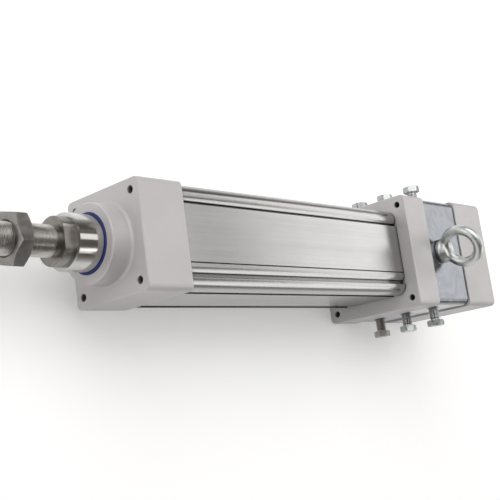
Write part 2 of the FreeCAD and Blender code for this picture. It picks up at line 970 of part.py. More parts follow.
def bearing_cover():
    """Cover that clamps the outer rings, with a collar behind for the shaft seal."""
    cover = new_body("bearing_cover", FLANGE_BACK)
    seal = S.shaft_seal_dia / 2 + S.fit_gap
    nut_room = S.bearing_nut_dia / 2 + S.free_gap
    wall = S.cover_collar_length - S.shaft_seal_width
    turned(
        cover,
        "Cover",
        [
            (-S.cover_collar_length, seal),
            (-wall, seal),
            (-wall, nut_room),
            (S.cover_thickness, nut_room),
            (S.cover_thickness, COVER_RADIUS),
            (0, COVER_RADIUS),
            (0, S.cover_collar_dia / 2),
            (-S.cover_collar_length, S.cover_collar_dia / 2),
        ],
    )
    centre = (COVER_SCREW_RADIUS, 0)
    head = S.cover_screw_head_dia / 2 + S.free_gap
    shank = S.cover_screw_dia / 2 + S.free_gap
    hole = turned(
        cover,
        "ScrewHole",
        [
            (0, 0),
            (S.cover_thickness, 0),
            (S.cover_thickness, shank),
            (S.cover_screw_head, shank),
            (S.cover_screw_head, head),
            (0, head),
        ],
        cut=True,
        centre=centre,
    )
    ring_of(cover, "ScrewHoles", [hole], S.cover_screw_count)
    screws = new_body("bearing_cover_screws", FLANGE_BACK)
    screw = turned(
        screws,
        "Screw",
        socket_screw(
            0,
            S.cover_screw_head,
            S.cover_thickness + S.cover_screw_grip,
            S.cover_screw_head_dia / 2,
            S.cover_screw_dia / 2,
        ),
        centre=centre,
    )
    ring_of(screws, "Screws", [screw], S.cover_screw_count)
    shaft_seal = new_body("shaft_seal", FLANGE_BACK - S.cover_collar_length)
    turned(
        shaft_seal,
        "Seal",
        ring_outline(
            0,
            S.shaft_seal_width,
            S.shaft_seal_journal / 2 + S.run_gap,
            S.shaft_seal_dia / 2,
        ),
    )


def socket_screw(back, head_front, tip, head, shank):
    """Outline of a cap screw that points towards the front."""
    return [
        (back, 0),
        (tip, 0),
        (tip, shank),
        (head_front, shank),
        (head_front, head),
        (back, head),
    ]


def coupling_housing():
    body = block(
        "coupling_housing",
        COUPLING_BACK,
        S.coupling_housing_length,
        2 * COUPLING_HALF,
        S.coupling_edge_radius,
    )
    length = S.coupling_housing_length
    turned(body, "Bore", ring_outline_solid(length, S.coupling_bore / 2), cut=True)
    corner = (S.housing_bolt_pitch / 2, S.housing_bolt_pitch / 2)
    clear = S.housing_bolt_dia / 2 + S.housing_bolt_clearance
    hole = turned(body, "BoltHole", ring_outline_solid(length, clear), cut=True, centre=corner)
    ring_of(body, "BoltHoles", [hole], CORNERS)
    for name, side, station, height in side_bolt_places():
        hole = blind_hole(
            side * COUPLING_HALF,
            side * (COUPLING_HALF - S.side_hole_depth),
            S.drill_tip,
            S.side_bolt_dia / 2 + S.fit_gap,
            S.side_hole_countersink,
        )
        turned(body, name + "Hole", hole, cut=True, along="Y", centre=(station, height))
    eye_hole = blind_hole(
        COUPLING_HALF,
        COUPLING_HALF - S.eye_hole_depth,
        S.drill_tip,
        S.eye_thread_dia / 2 + S.fit_gap,
        S.bolt_countersink,
    )
    turned(body, "EyeHole", eye_hole, cut=True, along="Z", centre=(S.lift_station, 0))


def side_bolt_places():
    """Name, side, station and height of each bolt in the housing's two sides."""
    places = []
    for side, station in ((1, S.lift_station), (-1, S.far_bolt_station)):
        for step in (-1, 0, 1):
            height = step * S.side_bolt_spread if step else 0
            places.append((f"Bolt{len(places)}", side, station, height))
    return places


def side_bolts():
    """Hexagon bolts that stand part-way out of the housing's two sides."""
    bolts = new_body("side_bolts", COUPLING_BACK)
    under_head = COUPLING_HALF + S.side_bolt_stand
    top = under_head + S.side_bolt_head
    for index, (name, side, station, height) in enumerate(side_bolt_places()):
        head_middle = under_head + S.side_bolt_head / 2
        turn = index * BOLT_TURN_STEP
        corners = [
            (station + x, plus(height, z)) for x, z in hexagon(S.side_bolt_flats, turn)
        ]
        sketch = outline(bolts, name + "Hexagon", "XZ_Plane", -side * head_middle, corners)
        extruded(bolts, name + "Head", sketch, S.side_bolt_head, both_ways=True)
        chamfer = hex_corner_cut(
            S.side_bolt_flats, side * top, side * (top - S.side_bolt_chamfer)
        )
        centre = (station, height)
        turned(bolts, name + "Chamfer", chamfer, cut=True, along="Y", centre=centre)
        shank = rod_outline(
            side * under_head,
            side * (COUPLING_HALF - S.side_bolt_insert),
            S.side_bolt_dia / 2,
            S.side_bolt_chamfer,
        )
        turned(bolts, name + "Shank", shank, along="Y", centre=centre)


def eye_bolt():
    body = new_body("eye_bolt", LIFT_X)
    body.setExpression("Placement.Base.z", COUPLING_HALF.formula)
    body.setExpression("Placement.Rotation.Angle", S.eye_angle.formula)
    sketch = new_sketch(body, "RingSection", "XZ_Plane")
    ring_top = S.eye_height + S.eye_ring_dia / 2
    section = S.eye_section_dia / 2
    circle = sketch.addGeometry(
        Part.Circle(Vector(0, ring_top.value, 0), Vector(0, 0, 1), section.value), False
    )
    sketch.addConstraint(Sketcher.Constraint("PointOnObject", circle, 3, -2))
    height = sketch.addConstraint(
        Sketcher.Constraint("DistanceY", -1, 1, circle, 3, ring_top.value)
    )
    sketch.setExpression(f"Constraints[{height}]", ring_top.formula)
    radius = sketch.addConstraint(Sketcher.Constraint("Radius", circle, section.value))
    sketch.setExpression(f"Constraints[{radius}]", section.formula)
    axis_ends = [(-section, S.eye_height), (section, S.eye_height)]
    axis = add_line(sketch, *axis_ends, construction=True)
    tie_point(sketch, axis, 1, axis_ends[0])
    tie_point(sketch, axis, 2, axis_ends[1])
    ring = body.newObject("PartDesign::Revolution", "Ring")
    ring.Profile = sketch
    ring.ReferenceAxis = (sketch, ["Axis0"])
    ring.Angle = FULL_TURN
    finish(body, ring)
    turned(
        body,
        "Stem",
        [
            (-S.eye_thread_length, 0),
            (S.eye_neck_height, 0),
            (S.eye_neck_height, S.eye_neck_dia / 2),
            (S.eye_collar_height, S.eye_collar_dia / 2 - S.edge_break),
            (S.eye_collar_height - S.edge_break, S.eye_collar_dia / 2),
            (0, S.eye_collar_dia / 2),
            (0, S.eye_thread_dia / 2),
            (-S.eye_thread_length, S.eye_thread_dia / 2),
        ],
        along="Z",
    )


def motor_adapter():
    body = block(
        "motor_adapter", ADAPTER_BACK, S.adapter_length, S.housing_width, S.housing_edge_radius
    )
    base = body.Tip
    back_edges = edges_at(base.Shape, [0])
    edge_feature(
        body, "PartDesign::Fillet", "BackEdges", "Radius", S.adapter_back_radius, base, back_edges
    )
    length = S.adapter_length
    bore = S.coupling_bore / 2
    turned(
        body,
        "Bore",
        [
            (0, 0),
            (length, 0),
            (length, bore),
            (S.pilot_depth, bore),
            (S.pilot_depth, S.pilot_dia / 2),
            (0, S.pilot_dia / 2),
        ],
        cut=True,
    )
    motor_hole = blind_hole(
        Size.of(0.0), S.motor_bolt_depth, S.drill_tip, S.motor_bolt_bore / 2
    )
    diagonal = S.motor_bolt_circle / 2 / ROOT_TWO
    hole = turned(body, "MotorHole", motor_hole, cut=True, centre=(diagonal, diagonal))
    ring_of(body, "MotorHoles", [hole], CORNERS)
    clear = S.housing_bolt_dia / 2 + S.housing_bolt_clearance
    seat = S.housing_bolt_sink + S.housing_bolt_head
    corner = (S.housing_bolt_pitch / 2, S.housing_bolt_pitch / 2)
    hole = turned(
        body,
        "BoltHole",
        [
            (0, 0),
            (length, 0),
            (length, clear),
            (seat, clear),
            (seat, S.housing_bolt_counterbore / 2),
            (0, S.housing_bolt_counterbore / 2),
        ],
        cut=True,
        centre=corner,
    )
    ring_of(body, "BoltHoles", [hole], CORNERS)


def housing_bolts():
    """Long cap screws that hold the adapter and the coupling housing to the flange."""
    back = ADAPTER_BACK + S.housing_bolt_sink
    bolts = new_body("housing_bolts", back)
    offset = S.housing_bolt_pitch / 2
    tip = FLANGE_BACK + S.housing_bolt_engagement - back
    bolt = turned(
        bolts,
        "Bolt",
        socket_screw(
            0,
            S.housing_bolt_head,
            tip,
            S.housing_bolt_head_dia / 2,
            S.housing_bolt_dia / 2,
        ),
        centre=(offset, offset),
    )
    corners = [(offset + y, offset + z) for y, z in hexagon(S.housing_bolt_socket)]
    socket_sketch = outline(bolts, "Socket", "YZ_Plane", 0, corners)
    socket = extruded(bolts, "SocketCut", socket_sketch, S.housing_bolt_socket_depth, cut=True)
    ring_of(bolts, "Bolts", [bolt, socket], CORNERS)


def screw():
    """Screw with its bearing journal and drive end, and the two rings fixed on it."""
    shaft = new_body("screw_shaft", SCREW_HUB_BACK)
    tip = THREAD_FRONT + S.tip_guide_width - SCREW_HUB_BACK
    thread_front = THREAD_FRONT - SCREW_HUB_BACK
    thread_back = BEARING_FRONT - SCREW_HUB_BACK
    nut_back = BEARING_BACK - S.bearing_nut_width - SCREW_HUB_BACK
    seal_back = FLANGE_BACK - S.cover_collar_length - SCREW_HUB_BACK - S.shaft_seal_width
    journal = S.bearing_bore / 2 - S.fit_gap
    tip_journal = S.tip_journal_dia / 2
    turned(
        shaft,
        "Shaft",
        [
            (0, 0),
            (tip, 0),
            (tip, tip_journal - S.edge_break),
            (tip - S.edge_break, tip_journal),
            (thread_front, tip_journal),
            (thread_front, SCREW_RADIUS),
            (thread_back, SCREW_RADIUS),
            (thread_back, journal),
            (nut_back, journal),
            (nut_back, S.shaft_seal_journal / 2),
            (seal_back, S.shaft_seal_journal / 2),
            (seal_back, S.drive_dia / 2),
            (S.edge_break, S.drive_dia / 2),
            (0, S.drive_dia / 2 - S.edge_break),
        ],
    )
    guide = new_body("screw_tip_guide", THREAD_FRONT)
    turned(
        guide,
        "Guide",
        ring_outline(
            0,
            S.tip_guide_width - S.edge_break,
            tip_journal + S.fit_gap,
            S.rod_bore / 2 - S.run_gap,
        ),
    )
    nut = new_body("bearing_lock_nut", BEARING_BACK - S.bearing_nut_width)
    turned(
        nut,
        "LockNut",
        ring_outline(0, S.bearing_nut_width, S.bearing_bore / 2, S.bearing_nut_dia / 2),
    )
    slot_half = S.spanner_slot / 2
    rim = S.bearing_nut_dia / 2
    slot = outline(
        nut,
        "SpannerSlot",
        "YZ_Plane",
        0,
        [
            (rim - slot_half, -slot_half),
            (rim + slot_half, -slot_half),
            (rim + slot_half, slot_half),
            (rim - slot_half, slot_half),
        ],
    )
    cut = extruded(nut, "SpannerSlotCut", slot, S.bearing_nut_width, cut=True)
    ring_of(nut, "SpannerSlots", [cut], CORNERS)


def wedge(radius, half_angle, turn):
    """Triangle from the axis outwards, past a radius, about the direction of turn."""
    reach = (radius + S.free_gap) / cosine(half_angle)
    angles = [turn - half_angle, turn + half_angle]
    return [(0, 0)] + [(reach * cosine(angle), reach * sine(angle)) for angle in angles]


def coupling_hub(label, screw_label, station, bore, faces_front, jaw_turn):
    """Clamping hub with jaws at one end; its clamp screw crosses a slit."""
    hub = new_body(label, station)
    rim = S.hub_dia / 2
    root = S.jaw_root_dia / 2
    if faces_front:
        body_end, jaw_end = S.hub_length, S.hub_length + S.jaw_length
        start = Size.of(0.0)
    else:
        body_end, jaw_end = Size.of(0.0), -S.jaw_length
        start = S.hub_length
    turned(hub, "Hub", ring_outline(start, body_end, bore / 2, rim))
    turned(hub, "JawRing", ring_outline(body_end, jaw_end, root, rim))
    space_half = HALF_TURN / JAWS_PER_HUB - S.jaw_angle / 2
    spaces = wedge(rim, space_half, jaw_turn + HALF_TURN / JAWS_PER_HUB)
    sketch = outline(hub, "JawSpace", "YZ_Plane", body_end, spaces)
    space = extruded(hub, "JawSpaceCut", sketch, S.jaw_length, cut=True, towards_normal=faces_front)
    ring_of(hub, "JawSpaces", [space], JAWS_PER_HUB)
    slit_half = S.clamp_slit / 2
    slit = [
        (-rim - slit_half, -slit_half),
        (0, -slit_half),
        (0, slit_half),
        (-rim - slit_half, slit_half),
    ]
    slit_sketch = outline(hub, "Slit", "YZ_Plane", 0, slit)
    extruded(hub, "SlitCut", slit_sketch, S.hub_length, cut=True)
    centre = (S.hub_length / 2, -S.clamp_screw_offset)
    seat = S.clamp_screw_seat
    shank = S.clamp_screw_dia / 2
    head = S.clamp_screw_head_dia / 2
    turned(
        hub,
        "ClampHole",
        [
            (-rim, 0),
            (rim, 0),
            (rim, head + S.free_gap),
            (seat, head + S.free_gap),
            (seat, shank + S.fit_gap),
            (-rim, shank + S.fit_gap),
        ],
        cut=True,
        along="Z",
        centre=centre,
    )
    screw_body = new_body(screw_label, station)
    turned(
        screw_body,
        "Screw",
        [
            (seat - S.clamp_screw_grip, 0),
            (seat + S.clamp_screw_head, 0),
            (seat + S.clamp_screw_head, head),
            (seat, head),
            (seat, shank),
            (seat - S.clamp_screw_grip, shank),
        ],
        along="Z",
        centre=centre,
    )


def coupling():
    half_turn = HALF_TURN / JAWS_PER_HUB
    coupling_hub("screw_hub", "screw_hub_clamp", SCREW_HUB_BACK, S.drive_dia + 2 * S.fit_gap, False, 0)
    coupling_hub("motor_hub", "motor_hub_clamp", MOTOR_HUB_BACK, S.motor_shaft_dia, True, half_turn)
    spider = new_body("coupling_spider", MOTOR_HUB_FRONT + (S.hub_gap - S.spider_width) / 2)
    rim = S.hub_dia / 2 - S.free_gap
    core = S.jaw_root_dia / 2 - S.free_gap
    bore = S.spider_bore / 2
    turned(spider, "Disc", ring_outline(0, S.spider_width, bore, rim))
    leg_pitch = half_turn
    space_half = (leg_pitch - S.spider_leg_angle) / 2
    sketch = outline(spider, "LegSpace", "YZ_Plane", 0, wedge(rim, space_half, Size.of(0.0)))
    space = extruded(spider, "LegSpaceCut", sketch, S.spider_width, cut=True)
    ring_of(spider, "LegSpaces", [space], 2 * JAWS_PER_HUB)
    turned(spider, "Core", ring_outline(0, S.spider_width, bore, core))


def rod():
    tube = new_body("rod_tube", ROD_BACK)
    length = S.rod_reach - ROD_BACK
    bore = S.rod_bore / 2
    turned(
        tube,
        "Tube",
        [
            (0, bore),
            (length, bore),
            (length, ROD_RADIUS - S.rod_chamfer),
            (length - S.rod_chamfer, ROD_RADIUS),
            (0, ROD_RADIUS),
        ],
    )
    end = new_body("rod_end", S.rod_reach)
    stud = S.stud_dia / 2
    collar = S.rod_collar_dia / 2
    collar_front = S.rod_collar_length
    turned(end, "Collar", rod_outline(0, collar_front, collar, S.edge_break))
    flat = S.rod_collar_flats / 2
    flats = [
        [(-collar, side * flat), (collar, side * flat), (collar, side * collar), (-collar, side * collar)]
        for side in (-1, 1)
    ]
    flat_sketch = outline(end, "FlatSection", "YZ_Plane", 0, *flats)
    extruded(end, "SpannerFlats", flat_sketch, collar_front, cut=True)
    neck = S.stud_neck_dia / 2
    neck_end = collar_front + S.lock_nut_stand + S.lock_nut_height
    tip = collar_front + S.stud_length
    turned(
        end,
        "Neck",
        [(collar_front, 0), (neck_end, 0), (neck_end, neck), (collar_front, neck)],
    )
    turned(end, "Stud", rod_outline(neck_end, tip, stud, S.stud_chamfer))
    turned(
        end,
        "Plug",
        [
            (-S.rod_plug_length, 0),
            (0, 0),
            (0, bore - S.fit_gap),
            (-S.rod_plug_length, bore - S.fit_gap),
        ],
    )
    nut = new_body("lock_nut", STUD_BACK + S.lock_nut_stand)
    corners = hexagon(S.lock_nut_flats, S.lock_nut_angle)
    sketch = outline(nut, "Hexagon", "YZ_Plane", 0, corners)
    extruded(nut, "HexNut", sketch, S.lock_nut_height)
    height = S.lock_nut_height
    front_cut = hex_corner_cut(S.lock_nut_flats, height, height - S.lock_nut_chamfer)
    turned(nut, "FrontChamfer", front_cut, cut=True)
    back_cut = hex_corner_cut(S.lock_nut_flats, Size.of(0.0), S.lock_nut_chamfer)
    turned(nut, "BackChamfer", back_cut, cut=True)
    turned(nut, "Thread", ring_outline_solid(height, neck + S.fit_gap), cut=True)


def nut_carrier():
    """Carriage that joins the nut to the rod and slides on the tube's bore."""
    body = new_body("nut_carrier", CARRIER_BACK)
    length = S.carrier_length
    guide_front = length - S.guide_ring_setback
    guide_back = guide_front - S.guide_ring_width
    magnet_front = length - S.magnet_setback
    magnet_back = magnet_front - S.magnet_width
    rod_seat = length - S.rod_seat_depth
    turned(
        body,
        "Carrier",
        [
            (0, S.rod_bore / 2 + S.fit_gap),
            (rod_seat, S.rod_bore / 2 + S.fit_gap),
            (rod_seat, ROD_RADIUS + S.fit_gap),
            (length, ROD_RADIUS + S.fit_gap),
            (length, CARRIER_RADIUS),
            (guide_front, CARRIER_RADIUS),
            (guide_front, GUIDE_FLOOR),
            (guide_back, GUIDE_FLOOR),
            (guide_back, CARRIER_RADIUS),
            (magnet_front, CARRIER_RADIUS),
            (magnet_front, MAGNET_FLOOR),
            (magnet_back, MAGNET_FLOOR),
            (magnet_back, CARRIER_RADIUS),
            (0, CARRIER_RADIUS),
        ],
    )
    key_half = S.keyway_width / 2
    seats = [key_loop(side, KEY_FLOOR, CARRIER_RADIUS + S.keyway_depth, key_half) for side in (-1, 1)]
    sketch = outline(body, "KeySeats", "YZ_Plane", S.key_setback, *seats)
    extruded(body, "KeySeatCut", sketch, S.key_length, cut=True)
    hole = blind_hole(
        Size.of(0.0),
        S.nut_screw_grip + S.free_gap,
        S.drill_tip,
        S.nut_screw_dia / 2 + S.fit_gap,
    )
    screw_hole = turned(body, "ScrewHole", hole, cut=True, centre=nut_screw_centre())
    ring_of(body, "ScrewHoles", [screw_hole], S.nut_screw_count)
    keys = new_body("anti_rotation_keys", CARRIER_BACK + S.key_setback)
    key_top = BORE_RADIUS + S.keyway_depth - S.free_gap
    loops = [
        key_loop(side, KEY_FLOOR + S.fit_gap, key_top, key_half - S.run_gap) for side in (-1, 1)
    ]
    extruded(keys, "Keys", outline(keys, "KeySections", "YZ_Plane", 0, *loops), S.key_length)
    guide = new_body("guide_ring", CARRIER_BACK + guide_back)
    turned(
        guide,
        "GuideRing",
        ring_outline(
            S.fit_gap,
            S.guide_ring_width - S.fit_gap,
            GUIDE_FLOOR + S.fit_gap,
            BORE_RADIUS - S.run_gap,
        ),
    )
    magnet = new_body("magnet_ring", CARRIER_BACK + magnet_back)
    turned(
        magnet,
        "MagnetRing",
        ring_outline(
            S.fit_gap, S.magnet_width - S.fit_gap, MAGNET_FLOOR + S.fit_gap, CARRIER_RADIUS
        ),
    )


def key_loop(side, floor, top, half):
    return [(side * floor, -half), (side * top, -half), (side * top, half), (side * floor, half)]


def nut_screw_centre():
    """First screw of the nut's flange, half a pitch away from the keys."""
    turn = HALF_TURN / S.nut_screw_count
    radius = S.nut_screw_circle / 2
    return (radius * cosine(turn), radius * sine(turn))


def roller_nut():
    body = new_body("roller_nut", NUT_BACK)
    length = S.nut_length
    recess = S.nut_wiper_width + S.free_gap + S.cage_thickness + S.ring_gear_width
    recess_radius = S.nut_recess_dia / 2
    flange_back = length - S.nut_flange_thickness
    turned(
        body,
        "Nut",
        [
            (0, recess_radius),
            (recess, recess_radius),
            (recess, S.nut_bore / 2),
            (length - recess, S.nut_bore / 2),
            (length - recess, recess_radius),
            (length, recess_radius),
            (length, S.nut_flange_dia / 2),
            (flange_back, S.nut_flange_dia / 2),
            (flange_back, S.nut_body_dia / 2),
            (0, S.nut_body_dia / 2),
        ],
    )
    shank = S.nut_screw_dia / 2
    hole = turned(
        body,
        "ScrewHole",
        [
            (flange_back, 0),
            (length, 0),
            (length, shank + S.free_gap),
            (flange_back, shank + S.free_gap),
        ],
        cut=True,
        centre=nut_screw_centre(),
    )
    ring_of(body, "ScrewHoles", [hole], S.nut_screw_count)
    head_back = flange_back - S.nut_screw_head
    screws = new_body("nut_screws", NUT_BACK + head_back)
    screw_outline = socket_screw(
        0,
        S.nut_screw_head,
        S.nut_screw_head + S.nut_flange_thickness + S.nut_screw_grip,
        S.nut_screw_head_dia / 2,
        shank,
    )
    one = turned(screws, "Screw", screw_outline, centre=nut_screw_centre())
    ring_of(screws, "Screws", [one], S.nut_screw_count)
    wipers = new_body("nut_wipers", NUT_BACK)
    gears = new_body("ring_gears", NUT_BACK)
    cages = new_body("planet_cages", NUT_BACK)
    planets = new_body("planet_rollers", NUT_BACK)
    wiper_end = S.nut_wiper_width
    cage_start = wiper_end + S.free_gap
    cage_end = cage_start + S.cage_thickness
    gear_end = cage_end + S.ring_gear_width
    seat = recess_radius - S.fit_gap
    journal = S.planet_journal_dia / 2
    orbit = (PLANET_ORBIT, 0)
    for name, place in (("Back", lambda x: x), ("Front", lambda x: length - x)):
        turned(
            wipers,
            name + "Wiper",
            ring_outline(place(Size.of(0.0)), place(wiper_end), SCREW_RADIUS + S.run_gap, seat),
        )
        turned(
            gears,
            name + "RingGear",
            ring_outline(place(cage_end), place(gear_end), S.nut_bore / 2, seat),
        )
        turned(
            cages,
            name + "Cage",
            ring_outline(
                place(cage_start),
                place(cage_end),
                SCREW_RADIUS + S.cage_wall_gap,
                S.nut_bore / 2 - S.cage_wall_gap,
            ),
        )
    pin_hole = turned(
        cages, "PinHole", ring_outline_solid(length, journal + S.fit_gap), cut=True, centre=orbit
    )
    ring_of(cages, "PinHoles", [pin_hole], S.planet_count)
    shoulder = cage_end + S.free_gap
    planet = turned(
        planets,
        "Planet",
        [
            (cage_start, 0),
            (length - cage_start, 0),
            (length - cage_start, journal),
            (length - shoulder, journal),
            (length - shoulder, PLANET_RADIUS),
            (shoulder, PLANET_RADIUS),
            (shoulder, journal),
            (cage_start, journal),
        ],
        centre=orbit,
    )
    ring_of(planets, "Planets", [planet], S.planet_count)


def check_document():
    """Stop if any object failed or any sub-part has no sound shape."""
    DOC.recompute()
    failed = [
        item.Name
        for item in DOC.Objects
        if "Invalid" in item.State or "Error" in item.State
    ]
    unsound = [
        part.Label for part in PARTS if part.Shape.isNull() or not part.Shape.isValid()
    ]
    if failed or unsound:
        raise RuntimeError(f"failed objects {failed}, unsound shapes {unsound}")


def main():
    front_head()
    head_fittings()
    profile_tube()
    tie_rods()
    rear_flange()
    seals_and_dampers()
    bearings()
    bearing_cover()
    coupling_housing()
    side_bolts()
    eye_bolt()
    motor_adapter()
    housing_bolts()
    screw()
    coupling()
    rod()
    nut_carrier()
    roller_nut()
    check_document()
    os.makedirs("parts", exist_ok=True)
    for part in PARTS:
        part.Shape.exportStep(f"parts/{part.Label}.step")
        print(part.Label, len(part.Shape.Solids), round(part.Shape.Volume))


main()
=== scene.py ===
# Looks of the electric linear actuator: cut threads, a forged lifting eye, a ribbed profile, a
# finish for every piece, a pale floor, soft studio light and a camera at the photograph's angle.
# Metres.
import json
import math

import bmesh
import bpy
from mathutils import Matrix, Vector

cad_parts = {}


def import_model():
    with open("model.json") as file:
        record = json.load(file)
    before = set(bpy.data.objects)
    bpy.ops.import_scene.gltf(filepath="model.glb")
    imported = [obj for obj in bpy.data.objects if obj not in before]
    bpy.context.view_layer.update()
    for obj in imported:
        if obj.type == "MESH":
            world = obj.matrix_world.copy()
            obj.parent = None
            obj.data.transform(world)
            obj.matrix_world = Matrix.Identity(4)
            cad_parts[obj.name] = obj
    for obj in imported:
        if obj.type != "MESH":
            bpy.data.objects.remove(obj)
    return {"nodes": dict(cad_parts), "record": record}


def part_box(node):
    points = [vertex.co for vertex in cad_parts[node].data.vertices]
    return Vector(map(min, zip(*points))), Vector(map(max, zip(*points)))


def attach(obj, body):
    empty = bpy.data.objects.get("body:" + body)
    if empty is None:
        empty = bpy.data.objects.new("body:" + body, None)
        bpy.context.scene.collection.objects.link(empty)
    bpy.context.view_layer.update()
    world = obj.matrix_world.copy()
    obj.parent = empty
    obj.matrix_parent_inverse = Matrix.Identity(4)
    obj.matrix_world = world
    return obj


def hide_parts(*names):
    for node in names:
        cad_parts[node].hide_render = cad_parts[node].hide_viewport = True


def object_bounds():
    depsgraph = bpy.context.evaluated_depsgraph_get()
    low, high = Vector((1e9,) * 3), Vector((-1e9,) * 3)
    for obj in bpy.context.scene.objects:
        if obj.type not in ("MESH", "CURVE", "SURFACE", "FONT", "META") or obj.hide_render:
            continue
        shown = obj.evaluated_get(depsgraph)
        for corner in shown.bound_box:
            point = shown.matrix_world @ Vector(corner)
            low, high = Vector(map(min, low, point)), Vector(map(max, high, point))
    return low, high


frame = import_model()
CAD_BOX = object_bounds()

MM = 0.001
MERGE = 1e-6
SEGMENTS = 72
HEX_SIDE = math.radians(60)
HEX_FACE_SHARE = 0.97
HEX_CHAMFER_SLOPE = math.tan(math.radians(30))
SHARP_EDGE = math.radians(35)
# Depth of a rolled thread as a share of its pitch, and where its flanks start and end
THREAD_DEPTH = 0.45
THREAD_PHASES = (0, 0.17, 0.43, 0.74)

# Frames whose Z axis is the axis of a turned piece
ALONG_X = Matrix(((0, 0, 1, 0), (1, 0, 0, 0), (0, 1, 0, 0), (0, 0, 0, 1)))
ALONG_Y = Matrix(((0, 1, 0, 0), (0, 0, 1, 0), (1, 0, 0, 0), (0, 0, 0, 1)))

# Profile tube. Grooves and line are given by their two edges across a face.
FACES = 4
QUARTER_TURN = math.pi / 2
PROFILE_CORNER = 15 * MM
RIB_RADIUS = 13.25 * MM
RIB_END_TILT = math.radians(35)
RIB_WIDTH = RIB_RADIUS * math.sin(RIB_END_TILT)
CURVE_STEPS = 8
NARROW_GROOVE = (-45.4 * MM, -41 * MM)
LINE = (32.7 * MM, 34.5 * MM)
WIDE_GROOVE = (45.8 * MM, 52.8 * MM)
GROOVE_DEPTH = 6 * MM
GROOVE_TAPER = 0.3 * MM
LINE_DEPTH = 1.6 * MM
LINE_TAPER = 0.7 * MM
BORE_RADIUS = 56 * MM
KEYWAY_WIDTH = 12 * MM
KEYWAY_DEPTH = 4 * MM
CHANNEL_RADIUS = 7 * MM
CHANNEL_PLACE = 55 * MM

# Rod end and lock nut
STUD_RADIUS = 19.5 * MM
STUD_PITCH = 2 * MM
UNDERCUT_RADIUS = 18 * MM
UNDERCUT_LENGTH = 4 * MM
COLLAR_RADIUS = 30 * MM
COLLAR_FLATS = 52 * MM
COLLAR_LENGTH = 14 * MM
COLLAR_CHAMFER = 0.8 * MM
PLUG_RADIUS = 24.9 * MM
NUT_FLATS = 60 * MM
NUT_TURN = math.radians(15)
NUT_BORE = 19.6 * MM
NUT_COUNTERSINK = 2.2 * MM

# Side bolts
BOLT_RADIUS = 8 * MM
BOLT_PITCH = 2 * MM
BOLT_FLATS = 24 * MM
BOLT_HEAD = 10 * MM
BOLT_SPREAD = 54 * MM
# Distance of each side's bolts from the housing's back
BOLT_STATIONS = {1: 60 * MM, -1: 66 * MM}
BOLT_INSERT = 20 * MM
BOLT_WASHER_FACE = 0.6 * MM
BOLT_SEGMENTS = 48
# Turn of each bolt's head, in the order in which the bolts are made
BOLT_TURNS = (41, 46, 38, 20, 12, 16)

# Lifting eye
EYE_RING_RADIUS = 28 * MM
EYE_SECTION_RADIUS = 8.2 * MM
EYE_HEIGHT = 38.5 * MM
EYE_TURN = math.radians(28)
EYE_COLLAR_RADIUS = 20 * MM
EYE_COLLAR_HEIGHT = 8 * MM
EYE_COLLAR_EDGE = 1.5 * MM
EYE_NECK_RADIUS = 15 * MM
EYE_NECK_HEIGHT = 15 * MM
EYE_STEM_RADIUS = 9 * MM
EYE_RING_SECTIONS = 64
EYE_SECTION_POINTS = 24
EYE_VOXEL = 0.8 * MM
EYE_BLEND = 0.5
EYE_BLEND_ROUNDS = 12

# Painted shade darkens a casting or a groove where it is sheltered within this reach
SHADE_REACH = 16 * MM
GROOVE_SHADE_REACH = 12 * MM
SHELTER_SAMPLES = 8

# The photograph's camera
IMAGE_SIZE = 500
FOCAL_PIXELS = 943.5
SENSOR = 36
CAMERA_PLACE = Vector((718.7, 242.7, 882.0)) * MM
CAMERA_RIGHT = Vector((-0.6828, 0.1334, 0.7183))
CAMERA_UP = Vector((0.0453, -0.9736, 0.2238))

# Floor, with a trace of its own glow
FLOOR_SIZE = 8
FLOOR_GLOW = 0.25

LAMPS = {
    "overhead_key": dict(place=(0.3, -1.5, 2.4), target=(-0.4, 0, 0), size=(3.2, 3.0), level=2.1),
    "rear_window": dict(place=(-3.5, -0.75, 2.0), target=(-0.5, 0, 0.07), size=(3.0, 1.6), level=1.75),
    "near_window": dict(place=(-3.1, 1.6, 2.1), target=(-0.3, 0.06, 0.06), size=(1.8, 1.7), level=1.8),
    "far_panel": dict(place=(-1.75, -0.5, 2.25), target=(0.03, 0, 0.05), size=(0.85, 0.6), level=1.4),
    "near_strip": dict(place=(-1.41, 1.39, 1.35), target=(0.05, 0, 0), size=(0.42, 0.42), level=1.2),
    "front_fill": dict(place=(2.5, 0, 0.6), target=(0, 0, 0), size=(2.2, 1.2), level=1.6),
}
# Height in the sky and colour there
SKY = (
    (0, (0.7, 0.7, 0.7)),
    (0.2, (0.3, 0.29, 0.275)),
    (0.42, (0.12, 0.11, 0.095)),
    (0.8, (0.13, 0.12, 0.105)),
    (0.95, (0.5, 0.5, 0.5)),
)

WHITE = (1, 1, 1)
# Part of a noise's range in which a colour or a roughness changes
NOISE_LOW, NOISE_HIGH = 0.3, 0.7
# Share of reflection in a finish that isn't metal
SHEEN = 0.5

